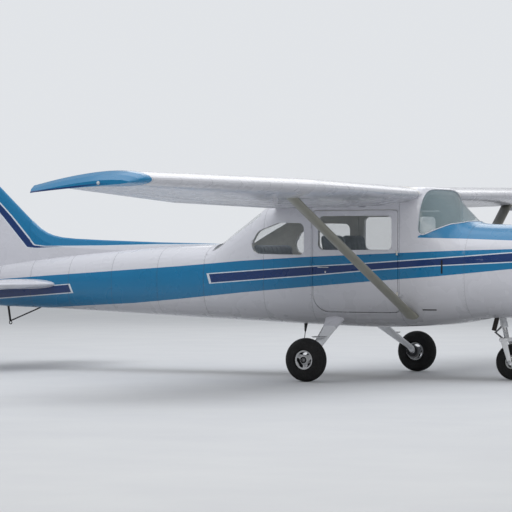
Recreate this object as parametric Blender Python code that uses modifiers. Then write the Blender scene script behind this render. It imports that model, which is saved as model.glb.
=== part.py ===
"""Light aircraft with a strut-braced high wing, four seats and a fixed nose-wheel undercarriage.

Frame: +X towards the nose, +Y to port, +Z up, metres. The origin is on the ground under the middle
of the aircraft's length. Along the fuselage, places are stations: metres aft of the firewall plane.
"""
import math

import bmesh
import bpy
from mathutils import Matrix, Vector

# Driving dimensions, in metres and degrees
STATION_ZERO_X = 2.88
SKIN_GAP = 0.0003
MOVING_GAP = 0.008
DOOR_GAP = 0.0055
WALL = 0.045
FLOOR_DEPTH = 0.09
CONE_WALL = 0.012
TAIL_SKIN = 0.008
COWL_WALL = 0.025
FIREWALL_STATION = 0.14
CONE_STATION = 3.12

WING_ROOT_Y = 0.50
WING_QUARTER_Z = 1.807
WING_CHORD = 1.626
WING_LEADING_STATION = 0.62
WING_INCIDENCE = 4.5
WING_BREAK_Y = 2.54
TIP_RIB_Y = 5.28
TIP_CHORD = 1.13
TIP_LEADING_STATION = 0.85
TIP_INCIDENCE = 1.5
DIHEDRAL = 0.9
FLAP_FRACTION = 0.72
AILERON_FRACTION = 0.75
FLAP_SPAN = (0.62, 2.538)
AILERON_SPAN = (2.546, 5.272)
FLAP_AXIS_DROP = 0.22
FLAP_AXIS_AFT = 0.02
FLAP_TRACKS = (0.95, 2.20)
AILERON_LUGS = (0.14, 0.86)
LUG_WIDTH = 0.020
SLOT_WIDTH = 0.0212

WING_STRUT_FOOT = (0.715, 0.47, 0.630)
WING_STRUT_HEAD = (0.992, 2.60, 1.825)
WING_STRUT_HALF_CHORD = 0.062
WING_STRUT_HALF_THICKNESS = 0.026

TAILPLANE_Z = 0.917
ELEVATOR_STATION = 5.95
TAILPLANE_TIP_Y = 1.55
ELEVATOR_TIP_Y = 1.725
TORQUE_TUBE_RADIUS = 0.020
RUDDER_FOOT = (6.33, 0.80)
RUDDER_LEAN = 0.19
RUDDER_TOP_Z = 2.43
FIN_LUGS = (1.35, 2.15)
CONE_LUG = 0.86

PROPELLER_STATION = -0.958
PROPELLER_Z = 1.24
PROPELLER_RADIUS = 0.9525
PROPELLER_TURN = 38.0
HUB_STATIONS = (-0.90, -1.01)
HUB_RADIUS = 0.062
SPINNER_STATION = -0.885
COWL_SPLIT_Z = 1.20

MAIN_STATION = 1.478
MAIN_Y = 1.275
MAIN_RADIUS = 0.215
MAIN_WIDTH = 0.156
MAIN_RIM = 0.092
MAIN_AXLE = 0.019
MAIN_BORE = 0.0195
NOSE_STATION = -0.173
NOSE_RADIUS = 0.18
NOSE_WIDTH = 0.127
NOSE_RIM = 0.0655
NOSE_AXLE = 0.0125
NOSE_BORE = 0.0130
STRUT_STATION = -0.075
STRUT_Z = 0.55
STRUT_LEAN = 12.0

DOOR_AXIS_STATION = 0.8372
DOOR_AXIS_Y = 0.556
DOOR_HINGE_HEIGHTS = (0.85, 1.26)
DOOR_LEAF = 0.05
BAGGAGE_AXIS_STATION = 2.4172
BAGGAGE_AXIS_Y = 0.525
BAGGAGE_HINGE_HEIGHTS = (0.87, 1.10)
BAGGAGE_LEAF = 0.04
KNUCKLE_RADIUS = 0.011
KNUCKLE_HEIGHT = 0.022
KNUCKLE_GAP = 0.0004

# How far out the shapes reach that cut or keep one side of the fuselage, and both
SIDE_NEAR = 0.3
SIDE_FAR = 0.8

# Fuselage sections: station, low z, widest z, high z, half width, roundness below and above
CABIN_SECTIONS = (
    (0.140, 0.598, 1.100, 1.555, 0.490, 3.0, 2.4),
    (0.240, 0.580, 1.100, 1.590, 0.500, 3.2, 2.3),
    (0.400, 0.556, 1.100, 1.726, 0.520, 3.6, 2.5),
    (0.540, 0.541, 1.100, 1.845, 0.532, 4.0, 3.4),
    (0.640, 0.534, 1.100, 1.915, 0.538, 4.0, 6.0),
    (0.900, 0.520, 1.100, 1.925, 0.542, 4.0, 8.0),
    (1.200, 0.511, 1.100, 1.930, 0.545, 4.0, 8.0),
    (1.750, 0.524, 1.100, 1.870, 0.545, 4.0, 8.0),
    (2.250, 0.541, 1.090, 1.785, 0.532, 3.8, 6.0),
    (2.420, 0.547, 1.080, 1.738, 0.512, 3.6, 4.5),
    (2.750, 0.559, 1.060, 1.546, 0.468, 3.4, 3.4),
    (3.085, 0.571, 1.030, 1.350, 0.425, 3.2, 2.8),
    (3.120, 0.572, 1.028, 1.345, 0.421, 3.2, 2.8),
)
CONE_SECTIONS = (
    (3.120, 0.572, 1.028, 1.345, 0.421, 3.2, 2.8),
    (3.700, 0.594, 0.985, 1.320, 0.355, 3.0, 2.6),
    (4.400, 0.625, 0.945, 1.275, 0.280, 2.8, 2.4),
    (5.100, 0.652, 0.905, 1.215, 0.205, 2.6, 2.2),
    (5.800, 0.670, 0.885, 1.140, 0.130, 2.5, 2.2),
    (6.280, 0.690, 0.880, 1.070, 0.070, 2.4, 2.2),
)
COWL_SECTIONS = (
    (-0.860, 0.800, 1.180, 1.455, 0.350, 2.8, 2.4),
    (-0.800, 0.735, 1.170, 1.480, 0.405, 2.8, 2.4),
    (-0.600, 0.660, 1.150, 1.510, 0.455, 2.9, 2.4),
    (-0.300, 0.620, 1.120, 1.535, 0.478, 3.0, 2.4),
    (0.140, 0.598, 1.100, 1.555, 0.490, 3.0, 2.4),
)
SECTION_POINTS = 36

# Side outlines: station, z, corner radius
DOOR_OUTLINE = (
    (0.840, 1.685, 0.03),
    (1.780, 1.685, 0.03),
    (1.780, 0.670, 0.16),
    (0.840, 0.670, 0.04),
)
DOOR_WINDOW_OUTLINE = (
    (0.905, 1.630, 0.05),
    (1.725, 1.630, 0.06),
    (1.725, 1.290, 0.06),
    (0.905, 1.290, 0.05),
)
REAR_SIDE_WINDOW_OUTLINE = (
    (1.885, 1.560, 0.06),
    (2.180, 1.565, 0.10),
    (2.440, 1.480, 0.12),
    (2.575, 1.250, 0.09),
    (1.885, 1.240, 0.05),
)
WINDSCREEN_OUTLINE = (
    (0.175, 1.583, 0.0),
    (0.340, 1.545, 0.0),
    (0.625, 1.410, 0.05),
    (0.600, 2.000, 0.0),
    (0.175, 2.000, 0.0),
)
REAR_WINDOW_OUTLINE = (
    (2.450, 1.625, 0.0),
    (3.060, 1.275, 0.0),
    (3.060, 1.900, 0.0),
    (2.450, 1.900, 0.0),
)
BAGGAGE_OUTLINE = (
    (2.420, 1.175, 0.05),
    (2.800, 1.175, 0.05),
    (2.800, 0.790, 0.05),
    (2.420, 0.790, 0.05),
)

# Flying surfaces: place along the span, leading edge, chord, thickness ratio, height of the
# quarter chord, incidence
WING_ROWS = (
    (WING_ROOT_Y, WING_LEADING_STATION, WING_CHORD, 0.12, WING_QUARTER_Z, WING_INCIDENCE),
    (WING_BREAK_Y, WING_LEADING_STATION, WING_CHORD, 0.12, WING_QUARTER_Z, WING_INCIDENCE),
    (TIP_RIB_Y, TIP_LEADING_STATION, TIP_CHORD, 0.12, WING_QUARTER_Z, TIP_INCIDENCE),
    (TIP_RIB_Y + 0.08, 0.865, 1.112, 0.114, WING_QUARTER_Z - 0.004, 2.2),
    (TIP_RIB_Y + 0.14, 0.900, 1.070, 0.090, WING_QUARTER_Z - 0.018, 3.6),
    (TIP_RIB_Y + 0.19, 0.965, 0.985, 0.045, WING_QUARTER_Z - 0.040, 4.8),
)
TAILPLANE_ROWS = (
    (0.00, 5.038, 1.345, 0.085, TAILPLANE_Z, 0.0),
    (TAILPLANE_TIP_Y, 5.408, 0.880, 0.080, TAILPLANE_Z, 0.0),
    (ELEVATOR_TIP_Y - 0.04, 5.450, 0.830, 0.075, TAILPLANE_Z, 0.0),
    (ELEVATOR_TIP_Y, 5.500, 0.760, 0.040, TAILPLANE_Z, 0.0),
)
FIN_ROWS = (
    (0.79, 4.850, 1.880, 0.062, 0.0, 0.0),
    (1.05, 5.030, 1.742, 0.064, 0.0, 0.0),
    (1.60, 5.497, 1.353, 0.070, 0.0, 0.0),
    (RUDDER_TOP_Z, 6.432, 0.535, 0.100, 0.0, 0.0),
    (2.57, 6.585, 0.395, 0.095, 0.0, 0.0),
    (2.62, 6.680, 0.270, 0.050, 0.0, 0.0),
)
DORSAL_SECTIONS = (
    # station, top z, half width at the top, half width at the foot
    (3.135, 1.352, 0.010, 0.030),
    (3.900, 1.368, 0.014, 0.045),
    (4.600, 1.392, 0.018, 0.050),
    (4.950, 1.408, 0.020, 0.050),
    (5.120, 1.423, 0.022, 0.050),
    (5.220, 1.443, 0.024, 0.050),
    (5.310, 1.475, 0.026, 0.050),
    (5.400, 1.525, 0.028, 0.050),
    (5.497, 1.600, 0.030, 0.050),
)
# Propeller blade: reach from the axis, chord, thickness, pitch in degrees
BLADE_SECTIONS = (
    (0.000, 0.095, 0.070, 60),
    (0.100, 0.105, 0.050, 48),
    (0.220, 0.135, 0.032, 38),
    (0.450, 0.150, 0.020, 27),
    (0.720, 0.130, 0.013, 20),
    (0.900, 0.100, 0.009, 17),
    (PROPELLER_RADIUS, 0.060, 0.006, 16),
)
BLADE_ROOM = 0.012
# Spinner: radius, distance ahead of its rear face
SPINNER_PROFILE = (
    (0.000, 0.335),
    (0.045, 0.322),
    (0.088, 0.285),
    (0.122, 0.225),
    (0.146, 0.150),
    (0.158, 0.075),
    (0.162, 0.000),
    (0.000, 0.000),
)
# Main leg: lateral place, station, z, chord, thickness
LEG_SECTIONS = (
    (0.340, 1.600, 0.640, 0.170, 0.060),
    (0.560, 1.572, 0.525, 0.150, 0.052),
    (0.850, 1.532, 0.388, 0.115, 0.044),
    (1.135, 1.492, 0.262, 0.085, 0.040),
)
# Seats: word, middle, half width, front, rear, cushion low z, cushion high z, back's top
SEATS = (
    ("left", 0.24, 0.215, 1.10, 1.58, 0.86, 0.97, 1.46),
    ("right", -0.24, 0.215, 1.10, 1.58, 0.86, 0.97, 1.46),
    ("rear", 0.0, 0.395, 2.02, 2.40, 0.84, 0.95, 1.36),
)
SEAT_BACK_LEAN = 0.10
PANEL_STATIONS = (0.635, 0.685)
PANEL_HALF_WIDTH = 0.6
GLARESHIELD_Z = (1.355, 1.40)
YOKE_Y = 0.245
YOKE_Z = 1.175
YOKE_STATION = 0.80

UPPER_FRACTIONS = (1.0, 0.88, 0.72, 0.55, 0.4, 0.27, 0.16, 0.08, 0.03, 0.007)

COLLECTION = "light_aircraft"
CUTTERS = "light_aircraft_cutters"

PAINTS = {
    # name: colour, metallic, roughness
    "white_enamel": ((0.80, 0.80, 0.83), 0.0, 0.3),
    "blue_enamel": ((0.10, 0.42, 0.62), 0.0, 0.3),
    "glazing": ((0.55, 0.68, 0.72), 0.0, 0.05),
    "tyre_rubber": ((0.03, 0.03, 0.03), 0.0, 0.85),
    "wheel_casting": ((0.72, 0.72, 0.72), 0.2, 0.45),
    "polished_metal": ((0.75, 0.75, 0.76), 1.0, 0.2),
    "dark_casting": ((0.10, 0.10, 0.11), 0.5, 0.6),
    "painted_steel": ((0.62, 0.63, 0.66), 0.0, 0.4),
    "exhaust_steel": ((0.30, 0.27, 0.25), 0.9, 0.5),
    "propeller_metal": ((0.55, 0.56, 0.58), 0.9, 0.35),
    "grey_fabric": ((0.30, 0.31, 0.34), 0.0, 0.9),
    "black_plastic": ((0.04, 0.04, 0.045), 0.0, 0.6),
    "red_lens": ((0.60, 0.05, 0.04), 0.0, 0.2),
    "green_lens": ((0.05, 0.45, 0.12), 0.0, 0.2),
}


def x_at(station):
    """The X of a station."""
    return STATION_ZERO_X - station


def collection(name):
    """The collection of that name, made on first use."""
    found = bpy.data.collections.get(name)
    if found is None:
        found = bpy.data.collections.new(name)
        bpy.context.scene.collection.children.link(found)
    return found


def paint(name):
    """The material of that name from PAINTS."""
    material = bpy.data.materials.get(name)
    if material is None:
        colour, metallic, roughness = PAINTS[name]
        material = bpy.data.materials.new(name)
        material.use_nodes = True
        shader = material.node_tree.nodes["Principled BSDF"]
        shader.inputs["Base Color"].default_value = (*colour, 1.0)
        shader.inputs["Metallic"].default_value = metallic
        shader.inputs["Roughness"].default_value = roughness
        material.diffuse_color = (*colour, 1.0)
    return material


def place_object(name, mesh, material=None):
    """Links a part, or a cutter when it has no material."""
    thing = bpy.data.objects.new(name, mesh)
    if material is None:
        collection(CUTTERS).objects.link(thing)
        thing.hide_render = True
        thing.display_type = "WIRE"
    else:
        collection(COLLECTION).objects.link(thing)
        mesh.materials.append(paint(material))
        mesh.shade_smooth()
        mesh.set_sharp_from_angle(angle=math.radians(32))
    return thing


def is_flat(points):
    """Whether four points lie in one plane."""
    normal = (points[1] - points[0]).cross(points[2] - points[0])
    return abs(normal.dot(points[3] - points[0])) <= 1e-6 * max(normal.length, 1e-9)


def loft(name, rings, material=None):
    """A closed solid through rings of equally many points, with flat ends."""
    shape = bmesh.new()
    rows = [[shape.verts.new(point) for point in ring] for ring in rings]
    count = len(rows[0])
    for near, far in zip(rows, rows[1:]):
        for i in range(count):
            j = (i + 1) % count
            corners = (near[i], near[j], far[j], far[i])
            if is_flat([corner.co for corner in corners]):
                shape.faces.new(corners)
            else:
                shape.faces.new((near[i], near[j], far[j]))
                shape.faces.new((near[i], far[j], far[i]))
    shape.faces.new(rows[0])
    shape.faces.new(rows[-1])
    bmesh.ops.recalc_face_normals(shape, faces=shape.faces)
    mesh = bpy.data.meshes.new(name)
    shape.to_mesh(mesh)
    shape.free()
    return place_object(name, mesh, material)


def box(name, low, high, material=None):
    """A box between two corners."""
    one, other = Vector(low), Vector(high)
    low = Vector(min(pair) for pair in zip(one, other))
    high = Vector(max(pair) for pair in zip(one, other))
    shape = bmesh.new()
    size = high - low
    place = Matrix.Translation((low + high) / 2) @ Matrix.Diagonal((*size, 1))
    bmesh.ops.create_cube(shape, size=1.0, matrix=place)
    mesh = bpy.data.meshes.new(name)
    shape.to_mesh(mesh)
    shape.free()
    return place_object(name, mesh, material)


def rod(name, start, end, radius, material=None, end_radius=None, sides=20):
    """A round bar or cone between two points."""
    start, end = Vector(start), Vector(end)
    along = end - start
    turn = along.to_track_quat("Z", "Y").to_matrix().to_4x4()
    shape = bmesh.new()
    bmesh.ops.create_cone(
        shape, cap_ends=True, segments=sides, radius1=radius,
        radius2=radius if end_radius is None else end_radius, depth=along.length,
        matrix=Matrix.Translation((start + end) / 2) @ turn,
    )
    mesh = bpy.data.meshes.new(name)
    shape.to_mesh(mesh)
    shape.free()
    return place_object(name, mesh, material)


def turned(name, profile, centre, material=None, steps=32, toward="Y"):
    """A shape turned about an axis along Y or X, from (radius, along) points, outer side going down."""
    mesh = bpy.data.meshes.new(name)
    points = [(radius, 0.0, along) for radius, along in profile]
    edges = [(i, i + 1) for i in range(len(points) - 1)]
    if profile[0][0] > 0.0:
        edges.append((len(points) - 1, 0))
    mesh.from_pydata(points, edges, [])
    thing = place_object(name, mesh, material)
    thing.location = centre
    thing.rotation_euler = (math.radians(90), 0, 0) if toward == "Y" else (0, math.radians(90), 0)
    screw = thing.modifiers.new("turn", "SCREW")
    screw.steps = steps
    screw.render_steps = steps
    screw.use_merge_vertices = True
    screw.merge_threshold = 0.00005
    screw.use_smooth_shade = True
    return thing


def boolean(part, other, operation):
    """Adds a live Boolean with another object."""
    modifier = part.modifiers.new(operation.lower(), "BOOLEAN")
    modifier.operation = operation
    modifier.solver = "EXACT"
    modifier.object = other
    return part


def cut(part, *cutters):
    """Takes cutters away from a part."""
    for cutter in cutters:
        boolean(part, cutter, "DIFFERENCE")
    return part


def join(part, *others):
    """Unites a part with helper shapes."""
    for other in others:
        boolean(part, other, "UNION")
    return part


def keep_inside(part, region):
    """Keeps what of a part lies inside a region."""
    return boolean(part, region, "INTERSECT")


def pivot(name, position, parent=None):
    """An empty on a joint's axis."""
    empty = bpy.data.objects.new(name, None)
    empty.location = position
    empty.empty_display_size = 0.1
    collection(COLLECTION).objects.link(empty)
    if parent is not None:
        empty.parent = parent
        empty.matrix_parent_inverse = Matrix.Translation(-parent_place(parent))
    empty["place"] = [float(value) for value in position]
    return empty


def parent_place(empty):
    """Where a pivot stands in the world."""
    return Vector(empty["place"])


def hang(empty, *things):
    """Parents things to a pivot and leaves them where they are."""
    for thing in things:
        thing.parent = empty
        thing.matrix_parent_inverse = Matrix.Translation(-parent_place(empty))


def body_ring(row, inset=0.0, floor=0.0):
    """The fuselage outline at one row, drawn in by inset."""
    station, low, wide, high, half, below, above = row
    ring = []
    for i in range(SECTION_POINTS):
        angle = 2 * math.pi * (i + 0.5) / SECTION_POINTS
        across, up = math.cos(angle), math.sin(angle)
        flatter = 4.0 if floor > inset else 0.0
        power = 2 / (above if up >= 0 else below + flatter)
        reach = high - inset - wide if up >= 0 else wide - low - max(inset, floor)
        y = (half - inset) * math.copysign(abs(across) ** power, across)
        z = wide + reach * math.copysign(abs(up) ** power, up)
        ring.append(Vector((x_at(station), y, z)))
    return ring


def row_between(rows, station):
    """A row of a table at any station, by straight lines between its rows."""
    for near, far in zip(rows, rows[1:]):
        if near[0] <= station <= far[0]:
            share = (station - near[0]) / (far[0] - near[0])
            return tuple(a + (b - a) * share for a, b in zip(near, far))
    edge = rows[0] if station < rows[0][0] else rows[-1]
    return (station, *edge[1:])


def body(name, rows, first, last, inset=0.0, floor=0.0, material=None):
    """The fuselage solid between two stations, drawn in by inset."""
    stations = [first] + [row[0] for row in rows if first + 0.001 < row[0] < last - 0.001] + [last]
    rings = [body_ring(row_between(rows, station), inset, floor) for station in stations]
    return loft(name, rings, material)


def rounded(outline, steps=5):
    """An outline of (station, z) points with its corners rounded."""
    points = []
    for i, (station, z, radius) in enumerate(outline):
        corner = Vector((station, z))
        before = Vector(outline[i - 1][:2]) - corner
        after = Vector(outline[(i + 1) % len(outline)][:2]) - corner
        if radius <= 0:
            points.append(corner)
            continue
        half = before.angle(after) / 2
        centre = corner + (before.normalized() + after.normalized()).normalized() * radius / math.sin(half)
        start = corner + before.normalized() * radius / math.tan(half) - centre
        end = corner + after.normalized() * radius / math.tan(half) - centre
        sweep = start.angle_signed(end)
        for k in range(steps + 1):
            points.append(centre + Matrix.Rotation(-sweep * k / steps, 2) @ start)
    return points


def grown(points, distance):
    """A closed outline pushed outwards, or inwards where distance is negative."""
    area = sum(a.x * b.y - b.x * a.y for a, b in zip(points, points[1:] + points[:1]))
    side = 1.0 if area > 0 else -1.0
    result = []
    for i, point in enumerate(points):
        back = (point - points[i - 1]).normalized()
        ahead = (points[(i + 1) % len(points)] - point).normalized()
        normal_back = Vector((back.y, -back.x)) * side
        normal_ahead = Vector((ahead.y, -ahead.x)) * side
        middle = (normal_back + normal_ahead).normalized()
        result.append(point + middle * distance / max(0.3, middle.dot(normal_back)))
    return result


def side_prism(name, outline, first_y, last_y, grow=0.0):
    """A side outline of (station, z, radius) points made solid across the fuselage."""
    points = grown(rounded(outline), grow)
    rings = [[Vector((x_at(p.x), y, p.y)) for p in points] for y in (first_y, last_y)]
    return loft(name, rings)


def half_thickness(fraction, ratio):
    """Half the thickness of a four-digit section at a fraction of its chord."""
    root = 0.2969 * math.sqrt(fraction)
    rest = -0.126 * fraction - 0.3516 * fraction ** 2 + 0.2843 * fraction ** 3 - 0.1036 * fraction ** 4
    return 5 * ratio * (root + rest)


def camber_height(fraction, camber):
    """The height of the mean line of a four-digit section whose camber peaks at 0.4 of the chord."""
    peak = 0.4
    if fraction < peak:
        return camber / peak ** 2 * (2 * peak * fraction - fraction ** 2)
    return camber / (1 - peak) ** 2 * (1 - 2 * peak + 2 * peak * fraction - fraction ** 2)


class Surface:
    """A flying surface: a table of rows along its span, and where its points lie in the world."""

    edge = 0.002

    def __init__(self, kind, rows, camber, side=1):
        self.kind = kind
        self.rows = rows
        self.camber = camber
        self.side = side

    def row(self, along):
        """The surface's row at a place along its span."""
        return row_between(self.rows, along)

    def point(self, along, aft, above):
        """The world point at a distance aft of the leading edge and above the chord line."""
        _, leading, chord, _, height, incidence = self.row(along)
        turn = math.radians(incidence)
        station = leading + aft * math.cos(turn) + above * math.sin(turn)
        z = height + 0.25 * chord * math.sin(turn) - aft * math.sin(turn) + above * math.cos(turn)
        if self.kind == "fin":
            return Vector((x_at(leading + aft), above, along))
        if self.kind == "tailplane":
            return Vector((x_at(station), self.side * along, z))
        rise = math.radians(DIHEDRAL)
        out, up = along - WING_ROOT_Y, z - WING_QUARTER_Z
        y = WING_ROOT_Y + out * math.cos(rise) - up * math.sin(rise)
        z = WING_QUARTER_Z + out * math.sin(rise) + up * math.cos(rise)
        return Vector((x_at(station), self.side * y, z))

    def outline_at(self, along, fractions):
        """Upper and lower (aft, above) points at fractions of the chord."""
        chord, ratio = self.row(along)[2:4]
        upper, lower = [], []
        for fraction in fractions:
            middle = camber_height(fraction, self.camber) * chord
            half = max(self.edge, half_thickness(fraction, ratio) * chord) if fraction > 0.5 else (
                half_thickness(fraction, ratio) * chord)
            upper.append(Vector((fraction * chord, middle + half)))
            lower.append(Vector((fraction * chord, middle - half)))
        return upper, lower

    def full_ring(self, along, grow=0.0):
        """The whole section."""
        upper, lower = self.outline_at(along, UPPER_FRACTIONS)
        points = upper + [Vector((0.0, 0.0))] + lower[::-1]
        return [self.point(along, p.x, p.y) for p in grown(points, grow)] if grow else [
            self.point(along, p.x, p.y) for p in points]

    def hinge_circle(self, along, fraction):
        """Centre (aft, above) and radius of the rounded nose at a fraction of the chord."""
        chord, ratio = self.row(along)[2:4]
        centre = Vector((fraction * chord, camber_height(fraction, self.camber) * chord))
        return centre, half_thickness(fraction, ratio) * chord

    def control_ring(self, along, fraction):
        """The section of a control aft of a fraction of the chord, with a round nose."""
        steps = (1.0, 0.66, 0.33)
        upper, lower = self.outline_at(along, [fraction + (1 - fraction) * step for step in steps])
        centre, radius = self.hinge_circle(along, fraction)
        nose = [
            centre + radius * Vector((-math.sin(angle), math.cos(angle)))
            for angle in (math.pi * i / 8 for i in range(9))
        ]
        return [self.point(along, p.x, p.y) for p in upper + nose + lower[::-1]]

    def cove_ring(self, along, fraction, gap):
        """What a control and its running gap need, at one place."""
        centre, radius = self.hinge_circle(along, fraction)
        radius += gap
        points = [
            centre + radius * Vector((-math.sin(angle), math.cos(angle)))
            for angle in (math.pi * i / 12 for i in range(13))
        ]
        far = self.row(along)[2] * 1.3
        points += [Vector((far, centre.y - radius)), Vector((far, centre.y + radius))]
        return [self.point(along, p.x, p.y) for p in points]

    def core_ring(self, along, fraction, wall):
        """The hollow inside a skin of some thickness, ahead of a control's cove."""
        chord, ratio = self.row(along)[2:4]
        _, radius = self.hinge_circle(along, fraction)
        rear = fraction - (radius + MOVING_GAP + 2 * wall) / chord
        first = (2.6 * wall / chord) ** 0.85 + 0.01
        upper, lower = [], []
        for share in (1.0, 0.8, 0.6, 0.4, 0.2, 0.08, 0.0):
            place = first + (rear - first) * share
            half = max(0.0015, half_thickness(place, ratio) * chord - wall)
            upper.append(Vector((place * chord, half)))
            lower.append(Vector((place * chord, -half)))
        return [self.point(along, p.x, p.y) for p in upper + lower[::-1]]

    def hinge_point(self, along, fraction):
        """A point of the hinge axis."""
        centre, _ = self.hinge_circle(along, fraction)
        return self.point(along, centre.x, centre.y)


WINGS = {side: Surface("wing", WING_ROWS, 0.02, side) for side in (1, -1)}
TAILPLANES = {side: Surface("tailplane", TAILPLANE_ROWS, 0.0, side) for side in (1, -1)}
FIN = Surface("fin", FIN_ROWS, 0.0)
SIDES = ((1, "left"), (-1, "right"))


def rudder_fraction(z):
    """Where the rudder's slanted hinge line crosses the section at a height."""
    _, leading, chord = FIN.row(z)[:3]
    station = RUDDER_FOOT[0] + (z - RUDDER_FOOT[1]) * RUDDER_LEAN
    return (station - leading) / chord


def elevator_fraction(along):
    """Where the elevator's hinge line crosses the section at a place along the tailplane."""
    _, leading, chord = TAILPLANES[1].row(along)[:3]
    return (ELEVATOR_STATION - leading) / chord


def hinge_frame(first, second, normal):
    """A matrix whose X runs aft, Y along the hinge axis and Z towards normal, without its place."""
    axis = (second - first).normalized()
    aft = axis.cross(normal).normalized()
    if aft.x > 0:
        aft = -aft
    up = aft.cross(axis).normalized()
    return Matrix((aft, axis, up)).transposed()


def hinge_lug(name, centre, frame, reach, half_height, width):
    """A lug with a round end on the hinge axis, reaching forward of it."""
    outline = [Vector((-reach, half_height)), Vector((-reach, -half_height))]
    outline += [
        half_height * Vector((math.sin(angle), -math.cos(angle)))
        for angle in (math.pi * i / 6 for i in range(7))
    ]
    rings = [
        [centre + frame @ Vector((p.x, side * width / 2, p.y)) for p in outline]
        for side in (-1, 1)
    ]
    return loft(name, rings)


def hinge_slot(name, centre, frame, radius, width):
    """The disc that is cut from a control round a lug."""
    axis = frame @ Vector((0, 1, 0))
    return rod(name, centre - axis * width / 2, centre + axis * width / 2, radius, sides=24)


def make_cabin():
    """The cabin: a hollow body with its door, window and wing openings."""
    cabin = body("cabin_shell", CABIN_SECTIONS, FIREWALL_STATION, CONE_STATION, material="white_enamel")
    roof_rings = []
    for side in (-1, 1):
        ring = WINGS[side].full_ring(WING_ROOT_Y)
        roof_rings.append([Vector((p.x, side * (WING_ROOT_Y - SKIN_GAP), p.z)) for p in ring])
    roof = loft("cut_roof_block", roof_rings)
    join(cabin, roof)
    hollow = body("cut_cabin_hollow", CABIN_SECTIONS, FIREWALL_STATION + WALL, CONE_STATION - WALL,
                  WALL, FLOOR_DEPTH)
    openings = (
        side_prism("cut_windscreen", WINDSCREEN_OUTLINE, -SIDE_FAR, SIDE_FAR),
        side_prism("cut_rear_window", REAR_WINDOW_OUTLINE, -SIDE_FAR, SIDE_FAR),
        side_prism("cut_rear_side_windows", REAR_SIDE_WINDOW_OUTLINE, -SIDE_FAR, SIDE_FAR),
        side_prism("cut_doors", DOOR_OUTLINE, -SIDE_FAR, SIDE_FAR, DOOR_GAP),
        side_prism("cut_baggage_door", BAGGAGE_OUTLINE, 0.2, SIDE_FAR, DOOR_GAP),
    )
    cut(cabin, hollow, *openings)
    for side, word in SIDES:
        wing = WINGS[side]
        rings = [wing.full_ring(along, SKIN_GAP) for along in (WING_ROOT_Y - SKIN_GAP, WING_ROOT_Y + 0.12)]
        cut(cabin, loft("cut_wing_root_" + word, rings))
    return cabin


def glazing_shell(name, outer, inner, region):
    """A thin glazed sheet that follows the fuselage inside a region."""
    first, last = FIREWALL_STATION + 0.005, CONE_STATION - 0.005
    sheet = body(name, CABIN_SECTIONS, first, last, outer, outer, "glazing")
    cut(sheet, body("cut_core_" + name, CABIN_SECTIONS, FIREWALL_STATION, CONE_STATION, inner, inner))
    keep_inside(sheet, region)
    return sheet


def make_glazing():
    """The windscreen, the rear window and the two rear side windows."""
    for name, outline in (("windscreen", WINDSCREEN_OUTLINE), ("rear_window", REAR_WINDOW_OUTLINE)):
        region = side_prism("keep_" + name, outline, -SIDE_FAR, SIDE_FAR, -SKIN_GAP)
        glazing_shell(name, 0.002, 0.009, region)
    for side, word in SIDES:
        name = "rear_side_window_" + word
        near, far = side * SIDE_NEAR, side * SIDE_FAR
        region = side_prism("keep_" + name, REAR_SIDE_WINDOW_OUTLINE, near, far, -SKIN_GAP)
        glazing_shell(name, 0.004, 0.010, region)


def door_hinge_parts(word, side, axis_station, axis_y, heights, leaf):
    """The knuckles and leaves of a door's two hinges: those of the door and those of the fuselage."""
    moving, fixed = [], []
    near = x_at(axis_station)
    inner, outer = side * (axis_y - 0.032), side * (axis_y - 0.002)
    for number, z in enumerate(heights):
        for kind, low, high, reach in (
            ("door", z + KNUCKLE_GAP, z + KNUCKLE_HEIGHT, 1),
            ("frame", z - KNUCKLE_HEIGHT, z, -1),
        ):
            name = "join_hinge_%s_%s_%d" % (kind, word, number)
            start, end = (near, side * axis_y, low), (near, side * axis_y, high)
            knuckle = rod(name, start, end, KNUCKLE_RADIUS, sides=16)
            plate = box(name + "_leaf", (near, inner, low), (x_at(axis_station + reach * leaf), outer, high))
            (moving if kind == "door" else fixed).extend((knuckle, plate))
    return moving, fixed


def make_doors(cabin):
    """The two cabin doors with their windows, and the baggage door on the port side."""
    for side, word in SIDES:
        near, far = side * SIDE_NEAR, side * SIDE_FAR
        door = body("door_" + word, CABIN_SECTIONS, 0.7, 1.9, material="white_enamel")
        core = body("cut_door_core_" + word, CABIN_SECTIONS, 0.6, 2.0, WALL, WALL)
        cut(door, core)
        keep_inside(door, side_prism("keep_door_" + word, DOOR_OUTLINE, near, far))
        cut(door, side_prism("cut_door_window_" + word, DOOR_WINDOW_OUTLINE, near, far))
        moving, fixed = door_hinge_parts(word, side, DOOR_AXIS_STATION, DOOR_AXIS_Y,
                                         DOOR_HINGE_HEIGHTS, DOOR_LEAF)
        join(door, *moving)
        join(cabin, *fixed)
        pane = side_prism("keep_door_window_" + word, DOOR_WINDOW_OUTLINE, near, far, -SKIN_GAP)
        window = glazing_shell("door_window_" + word, 0.005, 0.011, pane)
        axis = pivot("door_hinge_" + word, (x_at(DOOR_AXIS_STATION), side * DOOR_AXIS_Y, 1.06))
        hang(axis, door, window)
    door = body("baggage_door", CABIN_SECTIONS, 2.3, 3.0, material="white_enamel")
    core = body("cut_baggage_core", CABIN_SECTIONS, 2.2, 3.1, WALL, WALL)
    cut(door, core)
    keep_inside(door, side_prism("keep_baggage_door", BAGGAGE_OUTLINE, 0.2, SIDE_FAR))
    moving, fixed = door_hinge_parts("baggage", 1, BAGGAGE_AXIS_STATION, BAGGAGE_AXIS_Y,
                                     BAGGAGE_HINGE_HEIGHTS, BAGGAGE_LEAF)
    join(door, *moving)
    join(cabin, *fixed)
    hang(pivot("baggage_hinge", (x_at(BAGGAGE_AXIS_STATION), BAGGAGE_AXIS_Y, 0.98)), door)


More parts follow.
